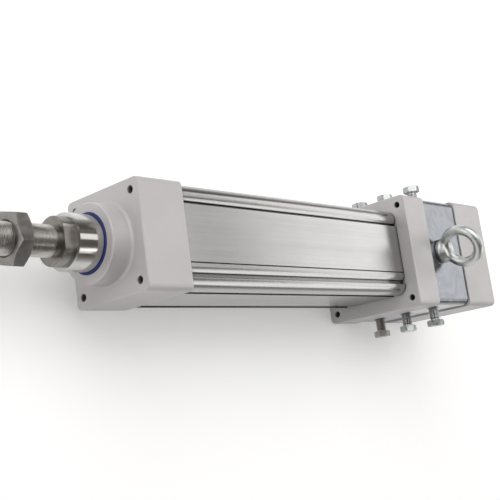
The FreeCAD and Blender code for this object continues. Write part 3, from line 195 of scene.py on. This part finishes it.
# Finishes of a slow noise, which shades the colour, and a fine one, which gives the relief
MOULDED = dict(
    slow=dict(scale=80, detail=4, distortion=0.8),
    fine=dict(scale=1400, detail=2),
    relief=dict(strength=0.15, depth=0.06 * MM),
    metallic=0,
)
LAYERED = {
    # Bright zinc plate, spangled and slightly uneven
    "zinc_steel": dict(
        name="zinc_plated_steel",
        slow=dict(scale=160, detail=3, distortion=0.7),
        fine=dict(scale=1100, detail=2),
        colours=((0.34, 0.36, 0.36), (0.5, 0.52, 0.52)),
        roughness=(0.2, 0.34),
        relief=dict(strength=0.1, depth=0.1 * MM),
    ),
    # Zinc plate over the blasted skin of a forging
    "forged_zinc": dict(
        name="zinc_plated_forging",
        slow=dict(scale=70, detail=4, distortion=0.6),
        fine=dict(scale=700, detail=3),
        colours=((0.52, 0.545, 0.53), (0.72, 0.74, 0.725)),
        roughness=(0.3, 0.44),
        relief=dict(strength=0.18, depth=0.12 * MM),
    ),
    # Weathered zinc with a brownish film
    "dull_zinc": dict(
        name="zinc_plated_steel_dull",
        slow=dict(scale=120, detail=4, distortion=0.5),
        fine=dict(scale=1000, detail=2),
        colours=((0.3, 0.28, 0.25), (0.48, 0.47, 0.44)),
        roughness=(0.34, 0.5),
        relief=dict(strength=0.14, depth=0.1 * MM),
    ),
    # Hard chrome, ground and polished round the rod
    "chrome": dict(
        name="hard_chrome",
        slow=dict(scale=25, detail=3),
        fine=dict(scale=2600, stretch=(1, 0.02, 0.02), detail=2),
        colours=((0.5, 0.487, 0.466), (0.57, 0.56, 0.545)),
        roughness=(0.12, 0.18),
        relief=dict(strength=0.03, depth=0.02 * MM),
    ),
    # Turned steel with feed marks round the axis
    "turned_steel": dict(
        name="turned_steel",
        slow=dict(scale=45, detail=3),
        fine=dict(scale=3000, stretch=(1, 0.03, 0.03), detail=2),
        colours=((0.46, 0.445, 0.42), (0.57, 0.56, 0.54)),
        roughness=(0.16, 0.28),
        rough_from="fine",
        relief=dict(strength=0.1, depth=0.03 * MM),
    ),
    # Blackened steel, rubbed in places
    "dark_steel": dict(
        name="blackened_steel",
        slow=dict(scale=70, detail=4, distortion=0.4),
        fine=dict(scale=1300, detail=2),
        colours=((0.2, 0.19, 0.18), (0.32, 0.305, 0.29)),
        colour_end=0.8,
        roughness=(0.28, 0.44),
        relief=dict(strength=0.12, depth=0.06 * MM),
    ),
    # Milled steel under a dark film of oil
    "oiled_steel": dict(
        name="oiled_steel",
        slow=dict(scale=90, detail=4, distortion=0.5),
        fine=dict(scale=1800, stretch=(0.1, 1, 1), detail=2),
        colours=((0.2, 0.185, 0.17), (0.31, 0.295, 0.275)),
        roughness=(0.26, 0.4),
        relief=dict(strength=0.08, depth=0.03 * MM),
    ),
    # Hardened and ground steel with a trace of oil
    "bearing_steel": dict(
        name="ground_bearing_steel",
        slow=dict(scale=60, detail=3, distortion=0.6),
        fine=dict(scale=2200, stretch=(1, 0.1, 0.1), detail=2),
        colours=((0.48, 0.47, 0.45), (0.6, 0.6, 0.6)),
        roughness=(0.14, 0.26),
        relief=dict(strength=0.06, depth=0.03 * MM),
    ),
    # Machined bearing bronze, a little tarnished
    "bronze": dict(
        name="machined_bronze",
        slow=dict(scale=55, detail=4),
        fine=dict(scale=1800, stretch=(1, 0.05, 0.05), detail=2),
        colours=((0.36, 0.21, 0.09), (0.58, 0.37, 0.17)),
        roughness=(0.24, 0.4),
        relief=dict(strength=0.1, depth=0.04 * MM),
    ),
    # Navy polyurethane with a soft moulded sheen
    "wiper_blue": dict(
        name="wiper_polyurethane",
        slow=dict(scale=140, detail=3),
        fine=dict(scale=1800, detail=2),
        colours=((0.012, 0.022, 0.12), (0.02, 0.036, 0.2)),
        roughness=(0.46, 0.56),
        relief=dict(strength=0.1, depth=0.05 * MM),
        metallic=0,
        sheen=0.3,
    ),
    # Moulded rubber and plastic with faint flow marks
    "seal_black": dict(
        name="seal_nitrile",
        colours=((0.012, 0.012, 0.013), (0.03, 0.03, 0.031)),
        roughness=(0.4, 0.55),
        **MOULDED,
    ),
    "damper_rubber": dict(
        name="damper_rubber",
        colours=((0.03, 0.03, 0.03), (0.06, 0.058, 0.056)),
        roughness=(0.55, 0.7),
        **MOULDED,
    ),
    "spider_rubber": dict(
        name="spider_elastomer",
        colours=((0.42, 0.05, 0.03), (0.58, 0.1, 0.06)),
        roughness=(0.38, 0.5),
        **MOULDED,
    ),
    "magnet": dict(
        name="bonded_magnet",
        colours=((0.05, 0.05, 0.055), (0.1, 0.1, 0.105)),
        roughness=(0.4, 0.55),
        **MOULDED,
    ),
    "guide_plastic": dict(
        name="guide_plastic",
        colours=((0.55, 0.53, 0.46), (0.66, 0.64, 0.57)),
        roughness=(0.36, 0.48),
        **MOULDED,
    ),
}


class Surface:
    """A procedural material, with short calls for the nodes that it needs."""

    def __init__(self, name):
        self.material = bpy.data.materials.new(name)
        self.material.use_nodes = True
        self.tree = self.material.node_tree
        self.shader = self.tree.nodes["Principled BSDF"]
        self.place = self.node("ShaderNodeTexCoord").outputs["Object"]

    def node(self, kind, **settings):
        made = self.tree.nodes.new(kind)
        for name, value in settings.items():
            setattr(made, name, value)
        return made

    def link(self, source, target):
        self.tree.links.new(source, target)

    def noise(self, scale, stretch=(1, 1, 1), detail=3, distortion=0):
        """Noise with a number of grains per metre, finer or coarser along an axis by stretch."""
        mapping = self.node("ShaderNodeMapping")
        mapping.inputs["Scale"].default_value = [scale * share for share in stretch]
        self.link(self.place, mapping.inputs["Vector"])
        noise = self.node("ShaderNodeTexNoise")
        noise.inputs["Scale"].default_value = 1
        noise.inputs["Detail"].default_value = detail
        noise.inputs["Distortion"].default_value = distortion
        self.link(mapping.outputs["Vector"], noise.inputs["Vector"])
        return noise.outputs["Fac"]

    def ramp(self, source, low, high, start=NOISE_LOW, end=NOISE_HIGH):
        """Colour that goes from low to high as the source goes from start to end."""
        ramp = self.node("ShaderNodeValToRGB")
        for stop, place, colour in zip(ramp.color_ramp.elements, (start, end), (low, high)):
            stop.position = place
            stop.color = (*colour, 1)
        self.link(source, ramp.inputs["Fac"])
        return ramp.outputs["Color"]

    def shelter(self, reach):
        """Openness of a place: 1 on a free face, lower in holes and corners."""
        shelter = self.node("ShaderNodeAmbientOcclusion", samples=SHELTER_SAMPLES)
        shelter.inputs["Distance"].default_value = reach
        return shelter.outputs["AO"]

    def multiply(self, first, second):
        mix = self.node("ShaderNodeMix", data_type="RGBA", blend_type="MULTIPLY")
        mix.inputs["Factor"].default_value = 1
        self.link(first, mix.inputs["A"])
        self.link(second, mix.inputs["B"])
        return mix.outputs["Result"]

    def span(self, source, low, high):
        """Value that goes from low to high in the part of a noise's range that counts."""
        span = self.node("ShaderNodeMapRange")
        ends = {"From Min": NOISE_LOW, "From Max": NOISE_HIGH, "To Min": low, "To Max": high}
        for name, value in ends.items():
            span.inputs[name].default_value = value
        self.link(source, span.inputs["Value"])
        return span.outputs["Result"]

    def math(self, operation, first, second):
        """Result of an operation on two values, each of them a socket or a number."""
        made = self.node("ShaderNodeMath", operation=operation)
        for socket, value in zip(made.inputs, (first, second)):
            if isinstance(value, bpy.types.NodeSocket):
                self.link(value, socket)
            else:
                socket.default_value = value
        return made.outputs["Value"]

    def bump(self, height, strength, depth, after=None):
        bump = self.node("ShaderNodeBump")
        bump.inputs["Strength"].default_value = strength
        bump.inputs["Distance"].default_value = depth
        self.link(height, bump.inputs["Height"])
        if after is not None:
            self.link(after, bump.inputs["Normal"])
        return bump.outputs["Normal"]

    def finish(self, colour, roughness, normal, metallic):
        self.shader.inputs["Metallic"].default_value = metallic
        self.link(colour, self.shader.inputs["Base Color"])
        self.link(roughness, self.shader.inputs["Roughness"])
        self.link(normal, self.shader.inputs["Normal"])
        return self.material


def cast_aluminium():
    """Blasted casting: fine grain, slow tone changes, handling marks, painted shade in its holes."""
    s = Surface("cast_aluminium_blasted")
    tone = s.noise(scale=9, detail=4)
    grain = s.noise(scale=1500, detail=2)
    smudge = s.noise(scale=38, detail=5, distortion=0.6)
    colour = s.multiply(
        s.ramp(tone, low=(0.56, 0.54, 0.545), high=(0.62, 0.6, 0.603)),
        s.ramp(grain, low=(0.92, 0.92, 0.92), high=WHITE),
    )
    # Painted shade: the colour darkens in holes that the shelter value finds
    painted_shade = s.ramp(s.shelter(SHADE_REACH), low=(0.1, 0.095, 0.09), high=WHITE, start=0.15, end=0.45)
    colour = s.multiply(colour, painted_shade)
    roughness = s.span(smudge, low=0.45, high=0.55)
    normal = s.bump(grain, strength=0.2, depth=0.1 * MM)
    return s.finish(colour, roughness, normal, metallic=0.3)


def profile_aluminium():
    """Satin anodised extrusion with fine die lines along it and painted shade in its grooves."""
    s = Surface("profile_aluminium_anodised")
    lines = s.noise(scale=900, stretch=(0.002, 1, 1), detail=3)
    streak = s.noise(scale=60, stretch=(0.02, 1, 1), detail=2)
    tone = s.noise(scale=6)
    colour = s.multiply(
        s.ramp(tone, low=(0.4, 0.396, 0.39), high=(0.445, 0.44, 0.434)),
        s.ramp(streak, low=(0.95, 0.95, 0.95), high=WHITE),
    )
    shelter = s.shelter(GROOVE_SHADE_REACH)
    # Painted shade: the colour darkens inside the sheltered grooves
    painted_shade = s.ramp(shelter, low=(0.24, 0.236, 0.23), high=WHITE, start=0.5, end=0.85)
    colour = s.multiply(colour, painted_shade)
    roughness = s.span(lines, low=0.2, high=0.26)
    normal = s.bump(lines, strength=0.04, depth=0.02 * MM)
    return s.finish(colour, roughness, normal, metallic=1)


def milled_aluminium():
    """Bright milled block with cloudy swirls left by the cutter."""
    s = Surface("milled_aluminium_bright")
    cloud = s.noise(scale=22, detail=4, distortion=2.2)
    fine = s.noise(scale=240, stretch=(1, 0.15, 1), detail=3, distortion=0.8)
    colour = s.ramp(cloud, low=(0.19, 0.2, 0.222), high=(0.27, 0.28, 0.3))
    roughness = s.span(cloud, low=0.15, high=0.26)
    swirls = s.bump(cloud, strength=0.05, depth=2 * MM)
    normal = s.bump(fine, strength=0.06, depth=0.08 * MM, after=swirls)
    return s.finish(colour, roughness, normal, metallic=1)


def layered(
    name,
    slow,
    fine,
    colours,
    roughness,
    relief,
    colour_end=NOISE_HIGH,
    rough_from="slow",
    metallic=1,
    sheen=SHEEN,
):
    """Finish of two noises, one slow and one fine."""
    s = Surface(name)
    noises = {"slow": s.noise(**slow), "fine": s.noise(**fine)}
    s.shader.inputs["Specular IOR Level"].default_value = sheen
    return s.finish(
        s.ramp(noises["slow"], *colours, end=colour_end),
        s.span(noises[rough_from], *roughness),
        s.bump(noises["fine"], **relief),
        metallic,
    )


# The record's slots, and three more finishes for single pieces
FINISHES = {
    "cast_aluminium": cast_aluminium(),
    "profile_aluminium": profile_aluminium(),
    "milled_aluminium": milled_aluminium(),
    **{slot: layered(**settings) for slot, settings in LAYERED.items()},
}


def dress_nodes():
    """Give each CAD node the finish of the slot that the record names for it."""
    slots = {part["node"]: part["material_slot"] for part in frame["record"]["subparts"]}
    for name, node in frame["nodes"].items():
        material = FINISHES[slots[name]]
        if not node.material_slots:
            node.data.materials.append(material)
        for place in node.material_slots:
            place.material = material


def add_rings(mesh, rings, caps=(False, False)):
    """Join rings of points into a skin, with a cap on each end that asks for one."""
    layers = [[mesh.verts.new(point) for point in ring] for ring in rings]
    for lower, upper in zip(layers, layers[1:]):
        for index, corner in enumerate(lower):
            after = (index + 1) % len(lower)
            mesh.faces.new((corner, lower[after], upper[after], upper[index]))
    for wanted, layer in zip(caps, (layers[0], layers[-1])):
        if wanted:
            mesh.faces.new(layer)


def ring(place, radius, count=SEGMENTS):
    """Points of a circle about Z."""
    angles = [2 * math.pi * index / count for index in range(count)]
    return [Vector((radius * math.cos(a), radius * math.sin(a), place)) for a in angles]


def hex_rings(start, end, flats, turn, chamfers, count=SEGMENTS):
    """Rings of a hexagonal prism whose corners are turned off at the ends that ask for it."""
    face = flats / 2 * HEX_FACE_SHARE
    low, high = [], []
    for index in range(count):
        angle = 2 * math.pi * index / count
        radius = flats / 2 / math.cos((angle - turn) % HEX_SIDE - HEX_SIDE / 2)
        drop = (radius - face) * HEX_CHAMFER_SLOPE
        spot = Vector((radius * math.cos(angle), radius * math.sin(angle), 0))
        low.append(spot + Vector((0, 0, start + chamfers[0] * drop)))
        high.append(spot + Vector((0, 0, end - chamfers[1] * drop)))
    return [ring(start, face, count), low, high, ring(end, face, count)]


def add_thread(mesh, start, end, crest, pitch, count=SEGMENTS):
    """Helical thread about Z that fades in at start and is chamfered at end."""
    root = crest - THREAD_DEPTH * pitch
    profile = tuple(zip(THREAD_PHASES, (root, root, crest, crest)))
    turns = math.ceil((end - start) / pitch) + 1
    rows = []
    for turn in range(-1, turns):
        for phase, radius in profile:
            row = []
            for index in range(count + 1):
                share = index / count
                place = min(max(start + (turn + phase + share) * pitch, start), end)
                reach = min(radius, root + (place - start), root + (end - place))
                angle = 2 * math.pi * (index % count) / count
                row.append(
                    mesh.verts.new((reach * math.cos(angle), reach * math.sin(angle), place))
                )
            rows.append(row)
    for lower, upper in zip(rows, rows[1:]):
        for index in range(count):
            mesh.faces.new((lower[index], lower[index + 1], upper[index + 1], upper[index]))
    return root


def close(mesh):
    """Weld the points that meet and turn all faces outwards."""
    bmesh.ops.remove_doubles(mesh, verts=mesh.verts, dist=MERGE)
    bmesh.ops.dissolve_degenerate(mesh, edges=mesh.edges, dist=MERGE)
    bmesh.ops.recalc_face_normals(mesh, faces=mesh.faces)


def make_piece(name, mesh, place, body, slot, replaced, finish=None):
    """Turn a mesh into an object that rides on a body and stands for a CAD node.

    The finish is the slot's own where no other is named.
    """
    close(mesh)
    data = bpy.data.meshes.new(name)
    mesh.transform(place)
    mesh.to_mesh(data)
    mesh.free()
    data.shade_smooth()
    data.set_sharp_from_angle(angle=SHARP_EDGE)
    piece = bpy.data.objects.new(name, data)
    bpy.context.scene.collection.objects.link(piece)
    data.materials.append(FINISHES[finish or slot])
    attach(piece, body)
    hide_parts(replaced)
    return piece


def curve(centre, radius, start, end):
    """Points of an arc across the profile's section, from tilt to tilt. A tilt of 0 faces up."""
    tilts = [start + (end - start) * step / CURVE_STEPS for step in range(CURVE_STEPS + 1)]
    return [centre + radius * Vector((math.sin(tilt), math.cos(tilt))) for tilt in tilts]


def cut(edges, depth, taper, top):
    """Floor corners of a groove between two edges of the upper face."""
    return [
        Vector((edges[0] + taper, top - depth)),
        Vector((edges[1] - taper, top - depth)),
    ]


def profile_outline(half):
    """Outer points of the section: four equal faces, a quarter turn on from each other."""
    shoulder = half - PROFILE_CORNER
    face = [
        *curve(Vector((-shoulder, half - RIB_RADIUS)), RIB_RADIUS, 0, RIB_END_TILT),
        *cut(NARROW_GROOVE, GROOVE_DEPTH, GROOVE_TAPER, half),
        Vector((NARROW_GROOVE[1], half)),
        Vector((LINE[0], half)),
        *cut(LINE, LINE_DEPTH, LINE_TAPER, half),
        Vector((LINE[1], half)),
        *curve(
            Vector((WIDE_GROOVE[0] - RIB_WIDTH, half - RIB_RADIUS)), RIB_RADIUS, 0, RIB_END_TILT
        ),
        *cut(WIDE_GROOVE, GROOVE_DEPTH, GROOVE_TAPER, half),
        Vector((WIDE_GROOVE[1], half)),
        *curve(Vector((shoulder, shoulder)), PROFILE_CORNER, 0, QUARTER_TURN)[:-1],
    ]
    points = []
    for quarter in range(FACES):
        turn = Matrix.Rotation(-quarter * QUARTER_TURN, 2)
        points += [turn @ point for point in face]
    return points


def bore_outline():
    """Points of the bore with a keyway on each side."""
    start = math.asin(KEYWAY_WIDTH / 2 / BORE_RADIUS)
    points = []
    for side in (1, -1):
        depth = side * (BORE_RADIUS + KEYWAY_DEPTH)
        points += [
            Vector((depth, side * -KEYWAY_WIDTH / 2)),
            Vector((depth, side * KEYWAY_WIDTH / 2)),
        ]
        for step in range(SEGMENTS + 1):
            angle = start + (math.pi - 2 * start) * step / SEGMENTS
            points.append(side * BORE_RADIUS * Vector((math.cos(angle), math.sin(angle))))
    return points


def profile_tube():
    """Extrusion with convex ribs beside its grooves, a keyed bore and tie rod channels."""
    low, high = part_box("profile_tube")
    loops = [profile_outline(high.z), bore_outline()]
    for y in (-CHANNEL_PLACE, CHANNEL_PLACE):
        for z in (-CHANNEL_PLACE, CHANNEL_PLACE):
            loops.append([point.xy + Vector((y, z)) for point in ring(0, CHANNEL_RADIUS)])
    mesh = bmesh.new()
    for loop in loops:
        corners = [mesh.verts.new((low.x, *point)) for point in loop]
        for first, second in zip(corners, [*corners[1:], corners[0]]):
            mesh.edges.new((first, second))
    bmesh.ops.triangle_fill(mesh, edges=mesh.edges, use_beauty=True)
    grown = bmesh.ops.extrude_face_region(mesh, geom=mesh.faces[:])["geom"]
    moved = [piece for piece in grown if isinstance(piece, bmesh.types.BMVert)]
    bmesh.ops.translate(mesh, vec=(high.x - low.x, 0, 0), verts=moved)
    place = Matrix.Identity(4)
    make_piece("profile_tube_ribbed", mesh, place, "housing", "profile_aluminium", "profile_tube")


def collar_ring(place, radius):
    """Points of the rod's collar: a circle with two spanner flats."""
    points = ring(place, radius)
    for point in points:
        across = abs(point.y)
        if across > COLLAR_FLATS / 2:
            share = COLLAR_FLATS / 2 / across
            point.x *= share
            point.y *= share
    return points


def rod_end():
    """Plug, collar with spanner flats and threaded stud in one turned piece."""
    low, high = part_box("rod_end")
    collar_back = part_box("rod_tube")[1].x
    collar_front = collar_back + COLLAR_LENGTH
    thread_back = collar_front + UNDERCUT_LENGTH
    mesh = bmesh.new()
    root = add_thread(mesh, thread_back, high.x, STUD_RADIUS, STUD_PITCH)
    add_rings(
        mesh,
        [
            ring(low.x, PLUG_RADIUS),
            ring(collar_back, PLUG_RADIUS),
            collar_ring(collar_back, COLLAR_RADIUS),
            collar_ring(collar_front - COLLAR_CHAMFER, COLLAR_RADIUS),
            collar_ring(collar_front, COLLAR_RADIUS - COLLAR_CHAMFER),
            ring(collar_front, UNDERCUT_RADIUS),
            ring(thread_back - (root - UNDERCUT_RADIUS), UNDERCUT_RADIUS),
            ring(thread_back, root),
        ],
        caps=(True, False),
    )
    add_rings(mesh, [ring(high.x, root)], caps=(False, True))
    piece = make_piece("rod_end_threaded", mesh, ALONG_X, "rod", "turned_steel", "rod_end")
    piece.data.materials.append(FINISHES["oiled_steel"])
    for face in piece.data.polygons:
        on_collar = collar_back <= face.center.x <= collar_front
        face.material_index = int(on_collar and face.center.yz.length > UNDERCUT_RADIUS)


def lock_nut():
    """Hexagon nut with countersunk thread mouths."""
    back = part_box("lock_nut")[0].x
    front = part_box("lock_nut")[1].x
    mouth = NUT_BORE + NUT_COUNTERSINK
    mesh = bmesh.new()
    inside = [
        ring(front, mouth),
        ring(front - NUT_COUNTERSINK, NUT_BORE),
        ring(back + NUT_COUNTERSINK, NUT_BORE),
        ring(back, mouth),
    ]
    outside = hex_rings(back, front, NUT_FLATS, NUT_TURN, (1, 1))
    add_rings(mesh, [*outside, *inside, outside[0]])
    make_piece("lock_nut_chamfered", mesh, ALONG_X, "rod", "dark_steel", "lock_nut")


def side_bolt(name, side, station, height, turn, finish):
    """Fully threaded hexagon bolt that stands out of one side of the housing."""
    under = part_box("side_bolts")[1].y - BOLT_HEAD
    washer = BOLT_FLATS / 2 * HEX_FACE_SHARE
    mesh = bmesh.new()
    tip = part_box("coupling_housing")[1].y - BOLT_INSERT
    start = under - BOLT_PITCH
    root = add_thread(mesh, -start, -tip, BOLT_RADIUS, BOLT_PITCH, BOLT_SEGMENTS)
    add_rings(mesh, [ring(-tip, root, BOLT_SEGMENTS)], caps=(True, False))
    head = hex_rings(
        under + BOLT_WASHER_FACE, under + BOLT_HEAD, BOLT_FLATS, turn, (0, 1), BOLT_SEGMENTS
    )
    shank = [
        ring(start, root, BOLT_SEGMENTS),
        ring(under, root, BOLT_SEGMENTS),
        ring(under, washer, BOLT_SEGMENTS),
    ]
    flipped = [[Vector((p.x, p.y, -p.z)) for p in points] for points in shank + head]
    add_rings(mesh, flipped, caps=(False, True))
    place = Matrix.Translation((station, 0, height)) @ ALONG_Y
    if side > 0:
        place = place @ Matrix.Rotation(math.pi, 4, "X")
    make_piece(name, mesh, place, "housing", "zinc_steel", "side_bolts", finish)


def side_bolts():
    """Three bolts to a side. The lowest one on the +Y side is dull."""
    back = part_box("coupling_housing")[0].x
    index = 0
    for side, station in BOLT_STATIONS.items():
        for step in (-1, 0, 1):
            dull = side > 0 and step < 0
            side_bolt(
                f"side_bolt_{index}",
                side,
                back + station,
                step * BOLT_SPREAD,
                math.radians(BOLT_TURNS[index]),
                "dull_zinc" if dull else "zinc_steel",
            )
            index += 1


def eye_bolt():
    """Forged lifting eye: ring, neck, collar and stem run into each other."""
    low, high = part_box("eye_bolt")
    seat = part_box("coupling_housing")[1].z
    mesh = bmesh.new()
    turns = []
    for index in range(EYE_RING_SECTIONS + 1):
        angle = 2 * math.pi * index / EYE_RING_SECTIONS
        out = Vector((0, math.sin(angle), math.cos(angle)))
        middle = Vector((0, 0, EYE_HEIGHT)) + out * EYE_RING_RADIUS
        points = []
        for step in range(EYE_SECTION_POINTS):
            lean = 2 * math.pi * step / EYE_SECTION_POINTS
            points.append(
                middle
                + out * (EYE_SECTION_RADIUS * math.cos(lean))
                + Vector((EYE_SECTION_RADIUS * math.sin(lean), 0, 0))
            )
        turns.append(points)
    add_rings(mesh, turns)
    stem = [
        ring(low.z - seat, EYE_STEM_RADIUS),
        ring(0, EYE_STEM_RADIUS),
        ring(0, EYE_COLLAR_RADIUS - EYE_COLLAR_EDGE),
        ring(EYE_COLLAR_EDGE, EYE_COLLAR_RADIUS),
        ring(EYE_COLLAR_HEIGHT - EYE_COLLAR_EDGE, EYE_COLLAR_RADIUS),
        ring(EYE_COLLAR_HEIGHT, EYE_COLLAR_RADIUS - EYE_COLLAR_EDGE),
        ring(EYE_NECK_HEIGHT, EYE_NECK_RADIUS),
    ]
    add_rings(mesh, stem, caps=(True, True))
    close(mesh)
    rough = bpy.data.meshes.new("eye_rough")
    mesh.to_mesh(rough)
    mesh.free()
    blank = bpy.data.objects.new("eye_blank", rough)
    bpy.context.scene.collection.objects.link(blank)
    remesh = blank.modifiers.new("Remesh", "REMESH")
    remesh.mode = "VOXEL"
    remesh.voxel_size = EYE_VOXEL
    smooth = blank.modifiers.new("Smooth", "SMOOTH")
    smooth.factor = EYE_BLEND
    smooth.iterations = EYE_BLEND_ROUNDS
    blend = bpy.data.meshes.new_from_object(
        blank.evaluated_get(bpy.context.evaluated_depsgraph_get())
    )
    bpy.data.objects.remove(blank)
    forged = bmesh.new()
    forged.from_mesh(blend)
    place = Matrix.Translation(((low.x + high.x) / 2, 0, seat)) @ Matrix.Rotation(EYE_TURN, 4, "Z")
    make_piece("eye_bolt_forged", forged, place, "housing", "zinc_steel", "eye_bolt", "forged_zinc")


def floor_material():
    """Matt white floor. Metal and glass see its glow as the camera does."""
    s = Surface("studio_floor")
    tone = s.noise(scale=3, detail=2)
    fine = s.noise(scale=300, detail=2)
    colour = s.ramp(tone, low=(0.91, 0.91, 0.91), high=(0.93, 0.93, 0.93))
    roughness = s.span(tone, low=0.85, high=0.95)
    normal = s.bump(fine, strength=0.02, depth=0.1 * MM)
    rays = s.node("ShaderNodeLightPath").outputs
    seen = s.math("MAXIMUM", rays["Is Camera Ray"], rays["Is Glossy Ray"])
    seen = s.math("MAXIMUM", seen, rays["Is Transmission Ray"])
    s.shader.inputs["Emission Color"].default_value = (*WHITE, 1)
    s.link(s.math("MULTIPLY", seen, FLOOR_GLOW), s.shader.inputs["Emission Strength"])
    return s.finish(colour, roughness, normal, metallic=0)


def studio_floor():
    """Floor that the part lies over, level with the lowest point of the CAD."""
    mesh = bmesh.new()
    bmesh.ops.create_grid(mesh, x_segments=1, y_segments=1, size=FLOOR_SIZE / 2)
    data = bpy.data.meshes.new("studio_floor")
    mesh.to_mesh(data)
    mesh.free()
    floor = bpy.data.objects.new("studio_floor", data)
    floor.location.z = CAD_BOX[0].z
    data.materials.append(floor_material())
    bpy.context.scene.collection.objects.link(floor)


def area_light(name, place, target, size, level):
    """Flat lamp of a size and an even brightness, aimed at a target."""
    data = bpy.data.lights.new(name, "AREA")
    data.shape = "RECTANGLE"
    data.size, data.size_y = size
    data.energy = level * math.pi * size[0] * size[1]
    light = bpy.data.objects.new(name, data)
    direction = Vector(target) - Vector(place)
    light.location = place
    light.rotation_euler = direction.to_track_quat("-Z", "Y").to_euler()
    bpy.context.scene.collection.objects.link(light)


def world():
    """Soft surround: pale at the horizon and overhead, warm and dim between."""
    made = bpy.data.worlds.new("studio")
    bpy.context.scene.world = made
    made.use_nodes = True
    tree = made.node_tree
    background = tree.nodes["Background"]
    coordinates = tree.nodes.new("ShaderNodeTexCoord")
    parts = tree.nodes.new("ShaderNodeSeparateXYZ")
    ramp = tree.nodes.new("ShaderNodeValToRGB")
    tree.links.new(coordinates.outputs["Generated"], parts.inputs["Vector"])
    tree.links.new(parts.outputs["Z"], ramp.inputs["Fac"])
    tree.links.new(ramp.outputs["Color"], background.inputs["Color"])
    for height, _ in SKY[1:-1]:
        ramp.color_ramp.elements.new(height)
    for stop, (height, colour) in zip(ramp.color_ramp.elements, SKY):
        stop.position = height
        stop.color = (*colour, 1)
    background.inputs["Strength"].default_value = 1


def camera():
    """The photograph's camera, by its place and its axes."""
    data = bpy.data.cameras.new("photograph")
    data.sensor_width = SENSOR
    data.lens = FOCAL_PIXELS / IMAGE_SIZE * SENSOR
    made = bpy.data.objects.new("photograph", data)
    back = CAMERA_RIGHT.cross(CAMERA_UP)
    turn = Matrix((CAMERA_RIGHT, CAMERA_UP, back)).transposed()
    made.matrix_world = Matrix.Translation(CAMERA_PLACE) @ turn.to_4x4()
    bpy.context.scene.collection.objects.link(made)
    bpy.context.scene.camera = made


dress_nodes()
profile_tube()
rod_end()
lock_nut()
side_bolts()
eye_bolt()
studio_floor()
for lamp, settings in LAMPS.items():
    area_light(lamp, **settings)
world()
camera()
bpy.context.scene.view_settings.view_transform = "Standard"
